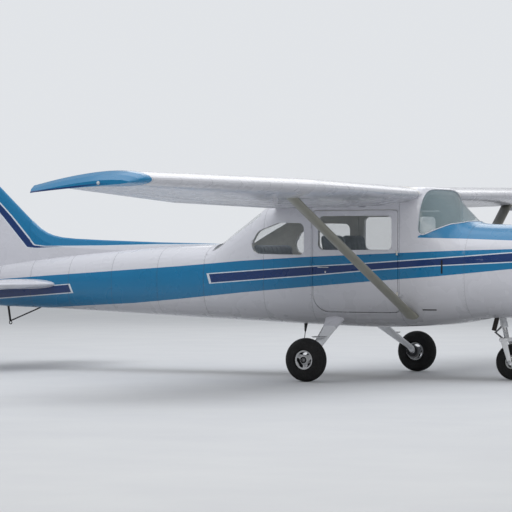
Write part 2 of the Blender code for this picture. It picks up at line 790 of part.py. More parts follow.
def make_tail_cone():
    """The hollow tail cone, open towards the cabin's rear wall."""
    cone = body("tail_cone", CONE_SECTIONS, CONE_STATION + SKIN_GAP, 6.28, material="white_enamel")
    cut(cone, body("cut_cone_hollow", CONE_SECTIONS, CONE_STATION - 0.02, 6.10, CONE_WALL, CONE_WALL))
    axle_x = x_at(ELEVATOR_STATION)
    ends = (axle_x, -SIDE_NEAR, TAILPLANE_Z), (axle_x, SIDE_NEAR, TAILPLANE_Z)
    cut(cone, rod("cut_torque_tube", *ends, TORQUE_TUBE_RADIUS + 0.0008, sides=24))
    frame = rudder_frame()
    join(cone, hinge_lug("join_rudder_lug_low", rudder_place(CONE_LUG), frame, 0.10, 0.008, LUG_WIDTH))


def rudder_place(z):
    """A point of the rudder's hinge axis."""
    return FIN.hinge_point(z, rudder_fraction(z))


def rudder_frame():
    """The rudder hinge's directions."""
    return hinge_frame(rudder_place(1.0), rudder_place(2.0), Vector((0, 1, 0)))


def make_fin_and_rudder():
    """The fin with its long dorsal, and the rudder with its balance at the top."""
    heights = (1.05, 1.60, RUDDER_TOP_Z - 0.008)
    fin = loft("fin", [FIN.full_ring(z) for z in heights], "white_enamel")
    rings = []
    for station, top, half, foot in DORSAL_SECTIONS:
        x = x_at(station)
        rings.append([Vector((x, y, z)) for y, z in (
            (-foot, 1.08), (-foot, top - 0.10), (-half, top - 0.012), (-0.4 * half, top),
            (0.4 * half, top), (half, top - 0.012), (foot, top - 0.10), (foot, 1.08))])
    join(fin, loft("join_dorsal", rings))
    heights = (0.5, RUDDER_TOP_Z + 0.02)
    cut(fin, loft("cut_rudder_cove", [FIN.cove_ring(z, rudder_fraction(z), MOVING_GAP) for z in heights]))
    frame = rudder_frame()
    for number, z in enumerate(FIN_LUGS):
        lug = hinge_lug("join_rudder_lug_%d" % number, rudder_place(z), frame, 0.075, 0.008, LUG_WIDTH)
        join(fin, lug)
    cut(fin, body("cut_cone_skin", CONE_SECTIONS, 2.9, 6.32, -SKIN_GAP))
    heights = (1.05, 1.60, 2.10)
    cut(fin, loft("cut_fin_hollow", [FIN.core_ring(z, rudder_fraction(z), TAIL_SKIN) for z in heights]))

    low = RUDDER_FOOT[1] - 0.01
    heights = (low, 1.05, 1.60, RUDDER_TOP_Z + 0.001)
    rudder = loft("rudder", [FIN.control_ring(z, rudder_fraction(z)) for z in heights], "white_enamel")
    horn_heights = (RUDDER_TOP_Z, *(row[0] for row in FIN_ROWS[-2:]))
    join(rudder, loft("join_rudder_horn", [FIN.full_ring(z) for z in horn_heights]))
    for number, z in enumerate((CONE_LUG, *FIN_LUGS)):
        _, radius = FIN.hinge_circle(z, rudder_fraction(z))
        slot = hinge_slot("cut_rudder_slot_%d" % number, rudder_place(z), frame, radius + 0.004, SLOT_WIDTH)
        cut(rudder, slot)

    # the beacon stands on the rudder's balance, and turns with it
    top = FIN_ROWS[-1]
    place = Vector((x_at(top[1] + 0.45 * top[2]), 0, top[0]))
    start, end = place + Vector((0, 0, SKIN_GAP)), place + Vector((0, 0, 0.055))
    beacon = rod("beacon", start, end, 0.024, "red_lens", 0.017)
    hang(pivot("rudder_hinge", rudder_place(1.6)), rudder, beacon)


def make_tailplane():
    """The two fixed halves of the tailplane, and the elevator as one piece on its torque tube."""
    skin = body("cut_cone_skin_for_tailplane", CONE_SECTIONS, 4.0, 6.32, -SKIN_GAP)
    halves = []
    for side, word in SIDES:
        tail = TAILPLANES[side]
        rings = [tail.full_ring(along) for along in (0.02, TAILPLANE_TIP_Y)]
        half = loft("stabiliser_" + word, rings, "white_enamel")
        rings = [tail.cove_ring(along, elevator_fraction(along), MOVING_GAP)
                 for along in (0.0, TAILPLANE_TIP_Y + 0.02)]
        cut(half, loft("cut_elevator_cove_" + word, rings), skin)
        rings = [tail.core_ring(along, elevator_fraction(along), TAIL_SKIN)
                 for along in (0.02, TAILPLANE_TIP_Y - 0.03)]
        cut(half, loft("cut_tailplane_hollow_" + word, rings))
        inboard, outboard = 0.150, TAILPLANE_TIP_Y + 0.009
        blade = loft("join_elevator_" + word, [
            tail.control_ring(along, elevator_fraction(along)) for along in (inboard, outboard)])
        horn = loft("join_elevator_horn_" + word, [
            tail.full_ring(along) for along in (outboard - 0.001, ELEVATOR_TIP_Y - 0.04, ELEVATOR_TIP_Y)])
        halves += [blade, horn]
    axle_x = x_at(ELEVATOR_STATION)
    ends = (axle_x, -0.16, TAILPLANE_Z), (axle_x, 0.16, TAILPLANE_Z)
    elevator = rod("elevator", *ends, TORQUE_TUBE_RADIUS, "white_enamel", sides=24)
    join(elevator, *halves)
    hang(pivot("elevator_hinge", (x_at(ELEVATOR_STATION), 0.0, TAILPLANE_Z)), elevator)


def flap_axis(side):
    """A point of a flap's axis, below its nose, at the middle of its span."""
    wing = WINGS[side]
    middle = sum(FLAP_SPAN) / 2
    centre, _ = wing.hinge_circle(middle, FLAP_FRACTION)
    return wing.point(middle, centre.x + FLAP_AXIS_AFT, centre.y - FLAP_AXIS_DROP)


def track_ring(wing, along, first, last, grow):
    """The arc of a flap track round the flap's axis, between two angles forward of upright."""
    centre, _ = wing.hinge_circle(along, FLAP_FRACTION)
    axis = centre + Vector((FLAP_AXIS_AFT, -FLAP_AXIS_DROP))
    radius = (centre - axis).length
    points = []
    for reach, order in ((radius + 0.012 + grow, 1), (radius - 0.012 - grow, -1)):
        angles = [math.radians(first + (last - first) * i / 8) for i in range(9)][::order]
        points += [axis + reach * Vector((-math.sin(angle), math.cos(angle))) for angle in angles]
    return [wing.point(along, p.x, p.y) for p in points]


def make_wings():
    """The wings, their tips, flaps, ailerons and struts."""
    hull = body("cut_cabin_skin", CABIN_SECTIONS, 0.2, 3.0, -SKIN_GAP, -SKIN_GAP)
    for side, word in SIDES:
        surface = WINGS[side]
        rings = [surface.full_ring(along) for along in (WING_ROOT_Y, WING_BREAK_Y, TIP_RIB_Y)]
        wing = loft("wing_" + word, rings, "white_enamel")
        tip_places = [TIP_RIB_Y + SKIN_GAP] + [row[0] for row in WING_ROWS[3:]]
        loft("wing_tip_" + word, [surface.full_ring(along) for along in tip_places], "blue_enamel")

        cut(wing, loft("cut_flap_cove_" + word, [
            surface.cove_ring(along, FLAP_FRACTION, MOVING_GAP)
            for along in (FLAP_SPAN[0] - MOVING_GAP, FLAP_SPAN[1] + 0.004)]))
        cut(wing, loft("cut_aileron_cove_" + word, [
            surface.cove_ring(along, AILERON_FRACTION, MOVING_GAP)
            for along in (AILERON_SPAN[0] - 0.005, TIP_RIB_Y + 0.01)]))
        rings = [surface.control_ring(along, FLAP_FRACTION) for along in FLAP_SPAN]
        flap = loft("flap_" + word, rings, "white_enamel")
        for number, along in enumerate(FLAP_TRACKS):
            name = "flap_track_%s_%d" % (word, number)
            rings = [track_ring(surface, along + half, 30, -24, 0.0) for half in (-0.007, 0.007)]
            join(wing, loft("join_" + name, rings))
            rings = [track_ring(surface, along + half, 40, -27, 0.004) for half in (-0.0076, 0.0076)]
            cut(flap, loft("cut_" + name, rings))
        hang(pivot("flap_axis_" + word, flap_axis(side)), flap)

        rings = [surface.control_ring(along, AILERON_FRACTION) for along in AILERON_SPAN]
        aileron = loft("aileron_" + word, rings, "white_enamel")
        first, second = (surface.hinge_point(along, AILERON_FRACTION) for along in AILERON_SPAN)
        frame = hinge_frame(first, second, Vector((0, 0, 1)))
        for number, share in enumerate(AILERON_LUGS):
            centre = first.lerp(second, share)
            along = AILERON_SPAN[0] + share * (AILERON_SPAN[1] - AILERON_SPAN[0])
            _, radius = surface.hinge_circle(along, AILERON_FRACTION)
            name = "aileron_lug_%s_%d" % (word, number)
            join(wing, hinge_lug("join_" + name, centre, frame, radius + 0.04, 0.009, LUG_WIDTH))
            cut(aileron, hinge_slot("cut_" + name, centre, frame, radius + 0.003, SLOT_WIDTH))
        hang(pivot("aileron_hinge_" + word, first.lerp(second, 0.5)), aileron)

        make_strut(side, word, hull)


def make_strut(side, word, hull):
    """One wing strut, of streamlined section, from the cabin's foot to the underside of the wing."""
    foot, head = (
        Vector((x_at(station), side * y, z))
        for station, y, z in (WING_STRUT_FOOT, WING_STRUT_HEAD)
    )
    along = (head - foot).normalized()
    aft = Vector((-1, 0, 0))
    aft = (aft - along * aft.dot(along)).normalized()
    up = along.cross(aft)
    rings = []
    for place in (foot, head):
        rings.append([
            place + aft * WING_STRUT_HALF_CHORD * math.cos(angle)
            + up * WING_STRUT_HALF_THICKNESS * math.sin(angle)
            for angle in (2 * math.pi * i / 16 for i in range(16))
        ])
    strut = loft("strut_" + word, rings, "white_enamel")
    cut(strut, hull)
    places = (WING_ROOT_Y, WING_BREAK_Y, TIP_RIB_Y)
    cut(strut, loft("cut_wing_skin_" + word, [WINGS[side].full_ring(place, SKIN_GAP) for place in places]))


def make_cowl():
    """The upper and lower cowling round the engine bay."""
    rear = FIREWALL_STATION - SKIN_GAP
    hollow = body("cut_cowl_hollow", COWL_SECTIONS, -0.835, 0.20, COWL_WALL, COWL_WALL)
    ends = (x_at(-0.70), 0, PROPELLER_Z), (x_at(-1.0), 0, PROPELLER_Z)
    shaft = rod("cut_cowl_shaft", *ends, 0.085, sides=24)
    inlets = []
    for side in (-1, 1):
        outline = rounded(((side * 0.125, 1.345, 0.05), (side * 0.285, 1.335, 0.05),
                           (side * 0.285, 1.225, 0.05), (side * 0.125, 1.215, 0.05)))
        rings = [[Vector((x_at(station), p.x, p.y)) for p in outline] for station in (-0.95, -0.80)]
        inlets.append(loft("cut_inlet_%d" % (side + 1), rings))
    intake = box("cut_intake", (x_at(-0.80), -0.10, 0.985), (x_at(-0.95), 0.10, 1.075))
    lamp = box("cut_lamp_recess", (x_at(-0.79), -0.105, 0.855), (x_at(-0.95), 0.105, 0.935))
    outlet = box("cut_cowl_outlet", (x_at(0.20), -0.19, 0.50), (x_at(-0.22), 0.19, 0.70))
    for name, low, high in (("cowl_upper", COWL_SPLIT_Z + SKIN_GAP, 1.7), ("cowl_lower", 0.4, COWL_SPLIT_Z)):
        cowl = body(name, COWL_SECTIONS, -0.86, rear, material="white_enamel")
        cut(cowl, hollow)
        keep_inside(cowl, box("keep_" + name, (x_at(0.3), -0.8, low), (x_at(-1.0), 0.8, high)))
        cut(cowl, shaft, *inlets)
        if name == "cowl_lower":
            cut(cowl, intake, lamp, outlet)


def make_engine():
    """The engine as a plain block with its shaft and mount, and the exhaust stack."""
    block = box("engine_block", (x_at(-0.12), -0.145, 0.95), (x_at(-0.78), 0.145, 1.38), "dark_casting")
    join(block, box("join_cylinders", (x_at(-0.16), -0.365, 1.06), (x_at(-0.66), 0.365, 1.29)))
    ends = (x_at(-0.70), 0, PROPELLER_Z), (x_at(HUB_STATIONS[0]) - 0.0005, 0, PROPELLER_Z)
    join(block, rod("join_shaft", *ends, 0.055))
    rear = x_at(FIREWALL_STATION - 0.0005)
    for number, (y, z) in enumerate(((-0.12, 0.98), (0.12, 0.98), (-0.12, 1.35), (0.12, 1.35))):
        join(block, rod("join_mount_%d" % number, (x_at(-0.15), y, z), (rear, y, z), 0.013, sides=12))

    outlet, mouth = (x_at(-0.115), -0.155, 0.80), (x_at(-0.030), -0.150, 0.495)
    stack = rod("exhaust_stack", outlet, mouth, 0.024, "exhaust_steel")
    ends = (x_at(-0.30), -0.155, 0.83), (x_at(-0.02), -0.155, 0.83)
    join(stack, rod("join_muffler", *ends, 0.055))
    ends = (x_at(-0.24), -0.185, 0.83), (x_at(-0.24), -0.185, 1.0595)
    join(stack, rod("join_muffler_pipe", *ends, 0.02, sides=12))


def blade_ring(reach, chord, thickness, pitch):
    """One section of a propeller blade that points along +Z."""
    ring = []
    turn = math.radians(pitch)
    for i in range(12):
        angle = 2 * math.pi * i / 12
        across, through = 0.5 * chord * math.cos(angle), 0.5 * thickness * math.sin(angle)
        ring.append(Vector((across * math.sin(turn) + through * math.cos(turn),
                            across * math.cos(turn) - through * math.sin(turn), reach)))
    return ring


def make_propeller():
    """The two-bladed propeller and its spinner."""
    centre = Matrix.Translation((x_at(PROPELLER_STATION), 0, PROPELLER_Z))
    rear, front = ((x_at(station), 0, PROPELLER_Z) for station in HUB_STATIONS)
    hub = rod("propeller", rear, front, HUB_RADIUS, "propeller_metal", sides=24)
    place = (x_at(SPINNER_STATION), 0, PROPELLER_Z)
    spinner = turned("spinner", SPINNER_PROFILE, place, "white_enamel", 32, "X")
    ends = (x_at(-0.80), 0, PROPELLER_Z), (front[0] + SKIN_GAP, 0, PROPELLER_Z)
    cut(spinner, rod("cut_hub_seat", *ends, HUB_RADIUS + 0.0006, sides=24))
    for number in range(2):
        turn = centre @ Matrix.Rotation(math.radians(PROPELLER_TURN + 180 * number), 4, "X")
        rings = [[turn @ p for p in blade_ring(*row)] for row in BLADE_SECTIONS]
        join(hub, loft("join_blade_%d" % number, rings))
        rings = [[turn @ p for p in blade_ring(reach, chord + BLADE_ROOM, thickness + BLADE_ROOM, pitch)]
                 for reach, chord, thickness, pitch in BLADE_SECTIONS[:4]]
        cut(spinner, loft("cut_blade_room_%d" % number, rings))
    hang(pivot("propeller_axis", (x_at(PROPELLER_STATION), 0, PROPELLER_Z)), hub, spinner)


def tyre_profile(radius, rim, width):
    """A tyre's section, outer side going down: (radius, along)."""
    half = width / 2
    depth = radius - rim
    points = []
    for i in range(13):
        angle = math.pi * (0.5 - i / 12)
        bulge = abs(math.cos(angle)) ** 0.75
        along = half * math.copysign(abs(math.sin(angle)) ** 0.8, angle)
        points.append((rim + depth * (0.12 + 0.88 * bulge), along))
    points += [(rim, -half * 0.62), (rim, 0.0), (rim, half * 0.62)]
    return points


def make_wheel(word, centre, radius, rim, width, bore, empty):
    """A tyre and its hub on a pivot."""
    tyre = turned("tyre_" + word, tyre_profile(radius, rim, width), centre, "tyre_rubber", 40)
    half = width / 2
    edge = rim - SKIN_GAP
    # shares of the rim's radius and of the half width, from the rim's edge in to the bore
    near_side = ((0.90, 0.66), (0.78, 0.28), (0.50, 0.30), (0.42, 0.72))
    profile = [(edge, half * 0.60), (edge, 0.0), (edge, -half * 0.60)]
    profile += [(rim * out, -half * along) for out, along in near_side]
    profile += [(bore, -half * 0.72), (bore, half * 0.72)]
    profile += [(rim * out, half * along) for out, along in near_side[::-1]]
    hub = turned("hub_" + word, profile, centre, "wheel_casting", 32)
    hang(empty, tyre, hub)


def make_main_gear():
    """The main undercarriage: a faired tube to each side, with its axle, step and wheel."""
    hull = body("cut_belly_skin", CABIN_SECTIONS, 0.9, 2.4, -SKIN_GAP, -SKIN_GAP)
    for side, word in SIDES:
        direction = Vector((0, side * 0.795, -0.378)).normalized()
        up = Vector((0, side * 0.378, 0.795)).normalized()
        rings = []
        for y, station, z, chord, thickness in LEG_SECTIONS:
            place = Vector((x_at(station), side * y, z))
            rings.append([
                place + Vector((-0.5 * chord * math.cos(angle), 0, 0))
                + up * 0.5 * thickness * math.sin(angle)
                for angle in (2 * math.pi * i / 16 for i in range(16))
            ])
        leg = loft("gear_leg_" + word, rings, "painted_steel")
        end = rings[-1]
        tail_place = sum(end, Vector()) / len(end)
        wheel_x = x_at(MAIN_STATION)
        start, end = tail_place - direction * 0.02, (wheel_x, side * 1.175, MAIN_RADIUS + 0.004)
        join(leg, rod("join_axle_root_" + word, start, end, 0.034, sides=16))
        for name, near, far, radius in (
            ("axle_", 1.140, MAIN_Y + 0.045, MAIN_AXLE),
            ("brake_plate_", 1.150, 1.170, 0.070),
        ):
            start, end = (wheel_x, side * near, MAIN_RADIUS), (wheel_x, side * far, MAIN_RADIUS)
            join(leg, rod("join_" + name + word, start, end, radius, sides=24))
        corners = (x_at(1.625), side * 0.80, 0.418), (x_at(1.485), side * 0.90, 0.432)
        join(leg, box("join_step_" + word, *corners))
        cut(leg, hull)
        centre = (wheel_x, side * MAIN_Y, MAIN_RADIUS)
        axis = pivot("wheel_axis_" + word, centre)
        make_wheel("main_" + word, centre, MAIN_RADIUS, MAIN_RIM, MAIN_WIDTH, MAIN_BORE, axis)


def strut_point(z):
    """A point of the nose strut's axis."""
    return Vector((x_at(STRUT_STATION - (STRUT_Z - z) * math.tan(math.radians(STRUT_LEAN))), 0, z))


def make_nose_gear():
    """The nose strut, the steered fork with its piston and link, and the nose wheel."""
    firewall = x_at(FIREWALL_STATION - SKIN_GAP)
    barrel = rod("nose_strut", strut_point(0.545), strut_point(0.98), 0.037, "painted_steel", sides=24)
    for number, z in enumerate((0.70, 0.93)):
        low = (firewall, -0.055, z - 0.025)
        join(barrel, box("join_strut_bracket_%d" % number, low, (strut_point(z).x, 0.055, z + 0.025)))
    steer = pivot("nose_steering", strut_point(STRUT_Z))
    piston = rod("nose_fork", strut_point(0.395), strut_point(0.5446), 0.026, "polished_metal", sides=24)
    join(piston, rod("join_piston_collar", strut_point(0.5446), strut_point(0.515), 0.036, sides=24))
    crown, half_crown = strut_point(0.40), Vector((0.050, 0.105, 0.022))
    join(piston, box("join_fork_crown", crown - half_crown, crown + half_crown))
    axle = Vector((x_at(NOSE_STATION), 0, NOSE_RADIUS))
    for side in (-1, 1):
        top = crown + Vector((0, side * 0.093, 0))
        foot = axle + Vector((0, side * 0.093, 0))
        run = (foot - top).normalized()
        rings = []
        for place, wide in ((top + run * 0.005, 0.040), (foot + run * 0.028, 0.026)):
            rings.append([place + Vector((x * wide, y, 0)) for x, y in
                          ((-1, -0.009), (1, -0.009), (1, 0.009), (-1, 0.009))])
        join(piston, loft("join_fork_leg_%d" % (side + 1), rings))
    half_axle = Vector((0, 0.095, 0))
    join(piston, rod("join_nose_axle", axle - half_axle, axle + half_axle, NOSE_AXLE, sides=20))
    aft = Vector((-1, 0, 0))
    upper, lower = strut_point(0.527) + aft * 0.030, strut_point(0.412) + aft * 0.045
    knee = (upper + lower) / 2 + aft * 0.075
    for number, (start, end) in enumerate(((upper, knee), (lower, knee))):
        join(piston, rod("join_torque_link_%d" % number, start, end, 0.012, sides=10))
    wheel = pivot("nose_wheel_axis", axle, steer)
    hang(steer, piston)
    make_wheel("nose", tuple(axle), NOSE_RADIUS, NOSE_RIM, NOSE_WIDTH, NOSE_BORE, wheel)


def make_panel_and_yokes(inside):
    """The instrument panel with its glareshield, and the two control yokes."""
    front, rear = PANEL_STATIONS
    under, top = GLARESHIELD_Z
    corners = (x_at(rear), -PANEL_HALF_WIDTH, 0.98), (x_at(front), PANEL_HALF_WIDTH, top)
    panel = box("instrument_panel", *corners, "black_plastic")
    corners = (x_at(0.70), -PANEL_HALF_WIDTH, under), (x_at(0.10), PANEL_HALF_WIDTH, top)
    join(panel, box("join_glareshield", *corners))
    keep_inside(panel, inside)
    bar_x = x_at(YOKE_STATION)
    for side, word in SIDES:
        middle = side * YOKE_Y
        start, end = (x_at(rear + SKIN_GAP), middle, YOKE_Z), (bar_x, middle, YOKE_Z)
        shaft = rod("yoke_" + word, start, end, 0.014, "black_plastic")
        centre, half = Vector((bar_x, middle, YOKE_Z)), Vector((0.012, 0.13, 0.015))
        join(shaft, box("join_yoke_bar_" + word, centre - half, centre + half))
        for end in (-1, 1):
            foot = (bar_x, middle + end * 0.125, YOKE_Z - 0.01)
            tip = (bar_x, middle + end * 0.140, YOKE_Z + 0.10)
            join(shaft, rod("join_yoke_horn_%s_%d" % (word, end + 1), foot, tip, 0.013, sides=12))


def make_seats(inside):
    """The two front seats and the rear bench, each a frame and a cushion with its back."""
    for word, middle, half, front, rear, low, high, back_top in SEATS:
        outer, front_edge = half - 0.03, x_at(front + 0.04)
        under = low - SKIN_GAP
        corners = (x_at(rear), middle - outer, 0.5), (front_edge, middle + outer, under)
        frame = box("seat_frame_" + word, *corners, "painted_steel")
        # room between the legs, under the pan and across: rear, front, half width, lowest and highest z
        rooms = (
            (rear - 0.06, front + 0.10, 1.0, 0.40, low - 0.05),
            (rear - 0.02, front + 0.06, half - 0.06, low - 0.2, low - 0.03),
            (rear + 0.10, front - 0.10, half - 0.08, 0.40, low - 0.05),
        )
        for number, (back, ahead, wide, bottom, top) in enumerate(rooms):
            corners = (x_at(back), middle - wide, bottom), (x_at(ahead), middle + wide, top)
            cut(frame, box("cut_seat_room_%s_%d" % (word, number), *corners))
        corners = (x_at(rear), middle - outer, 0.55), (front_edge, middle + outer, 0.655)
        join(frame, box("join_seat_rail_" + word, *corners))
        keep_inside(frame, inside)
        corners = (x_at(rear + 0.10), middle - half, low), (x_at(front), middle + half, high)
        cushion = box("seat_cushion_" + word, *corners, "grey_fabric")
        rings = []
        for z, shift in ((low + 0.02, 0.0), (back_top, SEAT_BACK_LEAN)):
            near, far = x_at(rear - 0.01 + shift), x_at(rear + 0.10 + shift)
            rings.append([Vector((near, middle - half, z)), Vector((near, middle + half, z)),
                          Vector((far, middle + half, z)), Vector((far, middle - half, z))])
        join(cushion, loft("join_seat_back_" + word, rings))


def make_cabin_fittings():
    """What stands inside the cabin."""
    inside = body("keep_inside_cabin", CABIN_SECTIONS, FIREWALL_STATION + WALL + SKIN_GAP,
                  CONE_STATION - WALL - SKIN_GAP, WALL + SKIN_GAP, FLOOR_DEPTH + SKIN_GAP)
    make_panel_and_yokes(inside)
    make_seats(inside)


def make_navigation_lamps():
    """The red and green lamps on the wing tips."""
    tip = WING_ROWS[-1][0]
    for side, word, lens in ((1, "left", "red_lens"), (-1, "right", "green_lens")):
        surface = WINGS[side]
        middle = surface.row(tip)[2] * 0.30
        start = surface.point(tip, middle, camber_height(0.3, surface.camber))
        outward = Vector((0, side, 0))
        ends = start + outward * SKIN_GAP, start + outward * 0.022
        rod("navigation_lamp_" + word, *ends, 0.016, lens, 0.009, 16)


def make_tail_bumper():
    """The tie-down ring and bumper under the tail."""
    skin = body("cut_tail_skin", CONE_SECTIONS, 5.0, 6.2, -SKIN_GAP, -SKIN_GAP)
    foot = Vector((x_at(5.785), 0, 0.470))
    half_plate = Vector((0.030, 0.006, 0.018))
    bumper = rod("tail_tie_down", (x_at(5.80), 0, 0.72), foot, 0.012, "painted_steel", sides=16)
    join(bumper, rod("join_bumper_stay", (x_at(5.34), 0, 0.70), foot, 0.008, sides=12))
    join(bumper, box("join_tie_plate", foot - half_plate, foot + half_plate))
    cut(bumper, skin)


def make_belly_aerial():
    """The bent mast under the cabin."""
    belly = body("cut_belly_skin_for_mast", CABIN_SECTIONS, 1.8, 2.4, -SKIN_GAP, -SKIN_GAP)
    ends = (x_at(2.03), -0.20, 0.60), (x_at(2.055), -0.20, 0.385)
    cut(rod("belly_aerial", *ends, 0.010, "black_plastic", 0.006, 16), belly)


def add_wing_fittings():
    """The tie-down plates under the wings, and the pitot tube under the port wing."""
    for side, word in SIDES:
        surface = WINGS[side]
        wing = bpy.data.objects["wing_" + word]
        place = surface.point(2.74, 0.40, 0.0)
        corners = place + Vector((-0.020, -0.005, -0.125)), place + Vector((0.020, 0.005, 0.0))
        join(wing, box("join_wing_tie_down_" + word, *corners))
    place = WINGS[1].point(3.05, 0.26, -0.04)
    corners = place + Vector((-0.030, -0.008, -0.115)), place + Vector((0.020, 0.008, 0.0))
    mast = box("join_pitot_mast", *corners)
    ends = place + Vector((-0.040, 0, -0.110)), place + Vector((0.190, 0, -0.110))
    join(bpy.data.objects["wing_left"], mast, rod("join_pitot", *ends, 0.012, sides=12))


def main():
    """Clears the scene and builds the aircraft."""
    for thing in list(bpy.data.objects):
        bpy.data.objects.remove(thing, do_unlink=True)
    cabin = make_cabin()
    make_glazing()
    make_doors(cabin)
    make_tail_cone()
    make_fin_and_rudder()
    make_tailplane()
    make_wings()
    make_cowl()
    make_engine()
    make_propeller()
    make_main_gear()
    make_nose_gear()
    make_cabin_fittings()
    make_navigation_lamps()
    make_tail_bumper()
    make_belly_aerial()
    add_wing_fittings()
    bpy.context.view_layer.update()


main()
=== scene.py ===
"""Looks of a light aircraft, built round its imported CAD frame.

The frame is in metres: +X towards the nose, +Y to port, +Z up, with the ground at Z = 0. Places along
the aircraft are stations: metres aft of the firewall plane.
"""
import logging
import math
from collections.abc import Callable, Iterable, Sequence
from dataclasses import dataclass
from enum import Enum
from functools import partialmethod

import bmesh
import bpy
import numpy as np
from mathutils import Matrix, Vector
from mathutils.bvhtree import BVHTree


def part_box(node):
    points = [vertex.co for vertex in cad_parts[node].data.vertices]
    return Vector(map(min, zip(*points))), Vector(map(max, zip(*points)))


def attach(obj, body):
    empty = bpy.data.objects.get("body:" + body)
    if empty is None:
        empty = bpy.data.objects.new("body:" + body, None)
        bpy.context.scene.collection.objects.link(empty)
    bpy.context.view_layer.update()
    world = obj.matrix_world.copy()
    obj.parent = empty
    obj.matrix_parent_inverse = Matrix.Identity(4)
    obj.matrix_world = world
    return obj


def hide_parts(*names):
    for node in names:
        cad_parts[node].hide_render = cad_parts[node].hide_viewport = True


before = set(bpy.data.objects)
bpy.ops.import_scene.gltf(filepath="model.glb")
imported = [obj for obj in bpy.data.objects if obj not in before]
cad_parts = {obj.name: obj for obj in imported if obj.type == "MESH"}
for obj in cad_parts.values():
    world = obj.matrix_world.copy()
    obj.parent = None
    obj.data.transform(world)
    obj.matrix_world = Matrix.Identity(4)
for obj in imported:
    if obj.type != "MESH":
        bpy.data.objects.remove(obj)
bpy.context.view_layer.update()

STATION_ZERO_X = 2.88
LOG = logging.getLogger("light_aircraft")
QUARTER_TURN = math.radians(90)
Thing = bpy.types.Object
Socket = bpy.types.NodeSocket
Row = Sequence[float]


class Side(Enum):
    """The two sides of the aircraft, by the sign of Y."""

    PORT = 1
    STARBOARD = -1

    @property
    def word(self) -> str:
        """The side's word in the names of CAD nodes."""
        return "left" if self is Side.PORT else "right"

    def body(self, what: str) -> "Body":
        """This side's body: a door, aileron, flap or main_wheel."""
        return Body("%s_%s" % (self.word, what))


class Body(Enum):
    """The CAD bodies that pieces ride on."""

    AIRFRAME = "airframe"
    LEFT_DOOR = "left_door"
    RIGHT_DOOR = "right_door"
    BAGGAGE = "baggage_lid"
    LEFT_AILERON = "left_aileron"
    RIGHT_AILERON = "right_aileron"
    LEFT_FLAP = "left_flap"
    RIGHT_FLAP = "right_flap"
    ELEVATOR = "elevator_pair"
    RUDDER = "rudder_body"
    PROPELLER = "propeller_and_spinner"
    LEFT_WHEEL = "left_main_wheel"
    RIGHT_WHEEL = "right_main_wheel"
    FORK = "steered_fork"
    NOSE_WHEEL = "nose_wheel"


def x_at(station: float) -> float:
    """The X of a station."""
    return STATION_ZERO_X - station


def at(station: float, y: float, z: float) -> Vector:
    """The point at a station, a distance to port and a height."""
    return Vector((x_at(station), y, z))


# Sections shared with the CAD source: station, low z, widest z, high z, half width, roundness below and above
HULL_SECTIONS = (
    (-0.860, 0.800, 1.180, 1.455, 0.350, 2.8, 2.4), (-0.800, 0.735, 1.170, 1.480, 0.405, 2.8, 2.4),
    (-0.600, 0.660, 1.150, 1.510, 0.455, 2.9, 2.4), (-0.300, 0.620, 1.120, 1.535, 0.478, 3.0, 2.4),
    (0.140, 0.598, 1.100, 1.555, 0.490, 3.0, 2.4), (0.240, 0.580, 1.100, 1.590, 0.500, 3.2, 2.3),
    (0.400, 0.556, 1.100, 1.726, 0.520, 3.6, 2.5), (0.540, 0.541, 1.100, 1.845, 0.532, 4.0, 3.4),
    (0.640, 0.534, 1.100, 1.915, 0.538, 4.0, 6.0), (0.900, 0.520, 1.100, 1.925, 0.542, 4.0, 8.0),
    (1.200, 0.511, 1.100, 1.930, 0.545, 4.0, 8.0), (1.750, 0.524, 1.100, 1.870, 0.545, 4.0, 8.0),
    (2.250, 0.541, 1.090, 1.785, 0.532, 3.8, 6.0), (2.420, 0.547, 1.080, 1.738, 0.512, 3.6, 4.5),
    (2.750, 0.559, 1.060, 1.546, 0.468, 3.4, 3.4), (3.085, 0.571, 1.030, 1.350, 0.425, 3.2, 2.8),
    (3.120, 0.572, 1.028, 1.345, 0.421, 3.2, 2.8), (3.700, 0.594, 0.985, 1.320, 0.355, 3.0, 2.6),
    (4.400, 0.625, 0.945, 1.275, 0.280, 2.8, 2.4), (5.100, 0.652, 0.905, 1.215, 0.205, 2.6, 2.2),
    (5.800, 0.670, 0.885, 1.140, 0.130, 2.5, 2.2), (6.280, 0.690, 0.880, 1.070, 0.070, 2.4, 2.2))
CAD_RING_POINTS = 36
FINE_RING_POINTS = 144
# Flying surfaces: place along the span, leading edge, chord, thickness ratio, height of quarter chord, incidence
WING_ROWS = (
    (0.500, 0.620, 1.626, 0.120, 1.807, 4.5), (2.540, 0.620, 1.626, 0.120, 1.807, 4.5),
    (5.280, 0.850, 1.130, 0.120, 1.807, 1.5), (5.360, 0.865, 1.112, 0.114, 1.803, 2.2),
    (5.420, 0.900, 1.070, 0.090, 1.789, 3.6), (5.470, 0.965, 0.985, 0.045, 1.767, 4.8))
TAILPLANE_ROWS = (
    (0.000, 5.038, 1.345, 0.085, 0.917, 0.0), (1.550, 5.408, 0.880, 0.080, 0.917, 0.0),
    (1.685, 5.450, 0.830, 0.075, 0.917, 0.0), (1.725, 5.500, 0.760, 0.040, 0.917, 0.0))
FIN_ROWS = (
    (0.790, 4.850, 1.880, 0.062, 0.0, 0.0), (1.050, 5.030, 1.742, 0.064, 0.0, 0.0),
    (1.600, 5.497, 1.353, 0.070, 0.0, 0.0), (2.430, 6.432, 0.535, 0.100, 0.0, 0.0),
    (2.570, 6.585, 0.395, 0.095, 0.0, 0.0), (2.620, 6.680, 0.270, 0.050, 0.0, 0.0))
CAD_FRACTIONS = (1.0, 0.88, 0.72, 0.55, 0.4, 0.27, 0.16, 0.08, 0.03, 0.007)
WING_CAMBER = 0.02
DIHEDRAL_DEGREES = 0.9
WING_ROOT_Y = 0.50
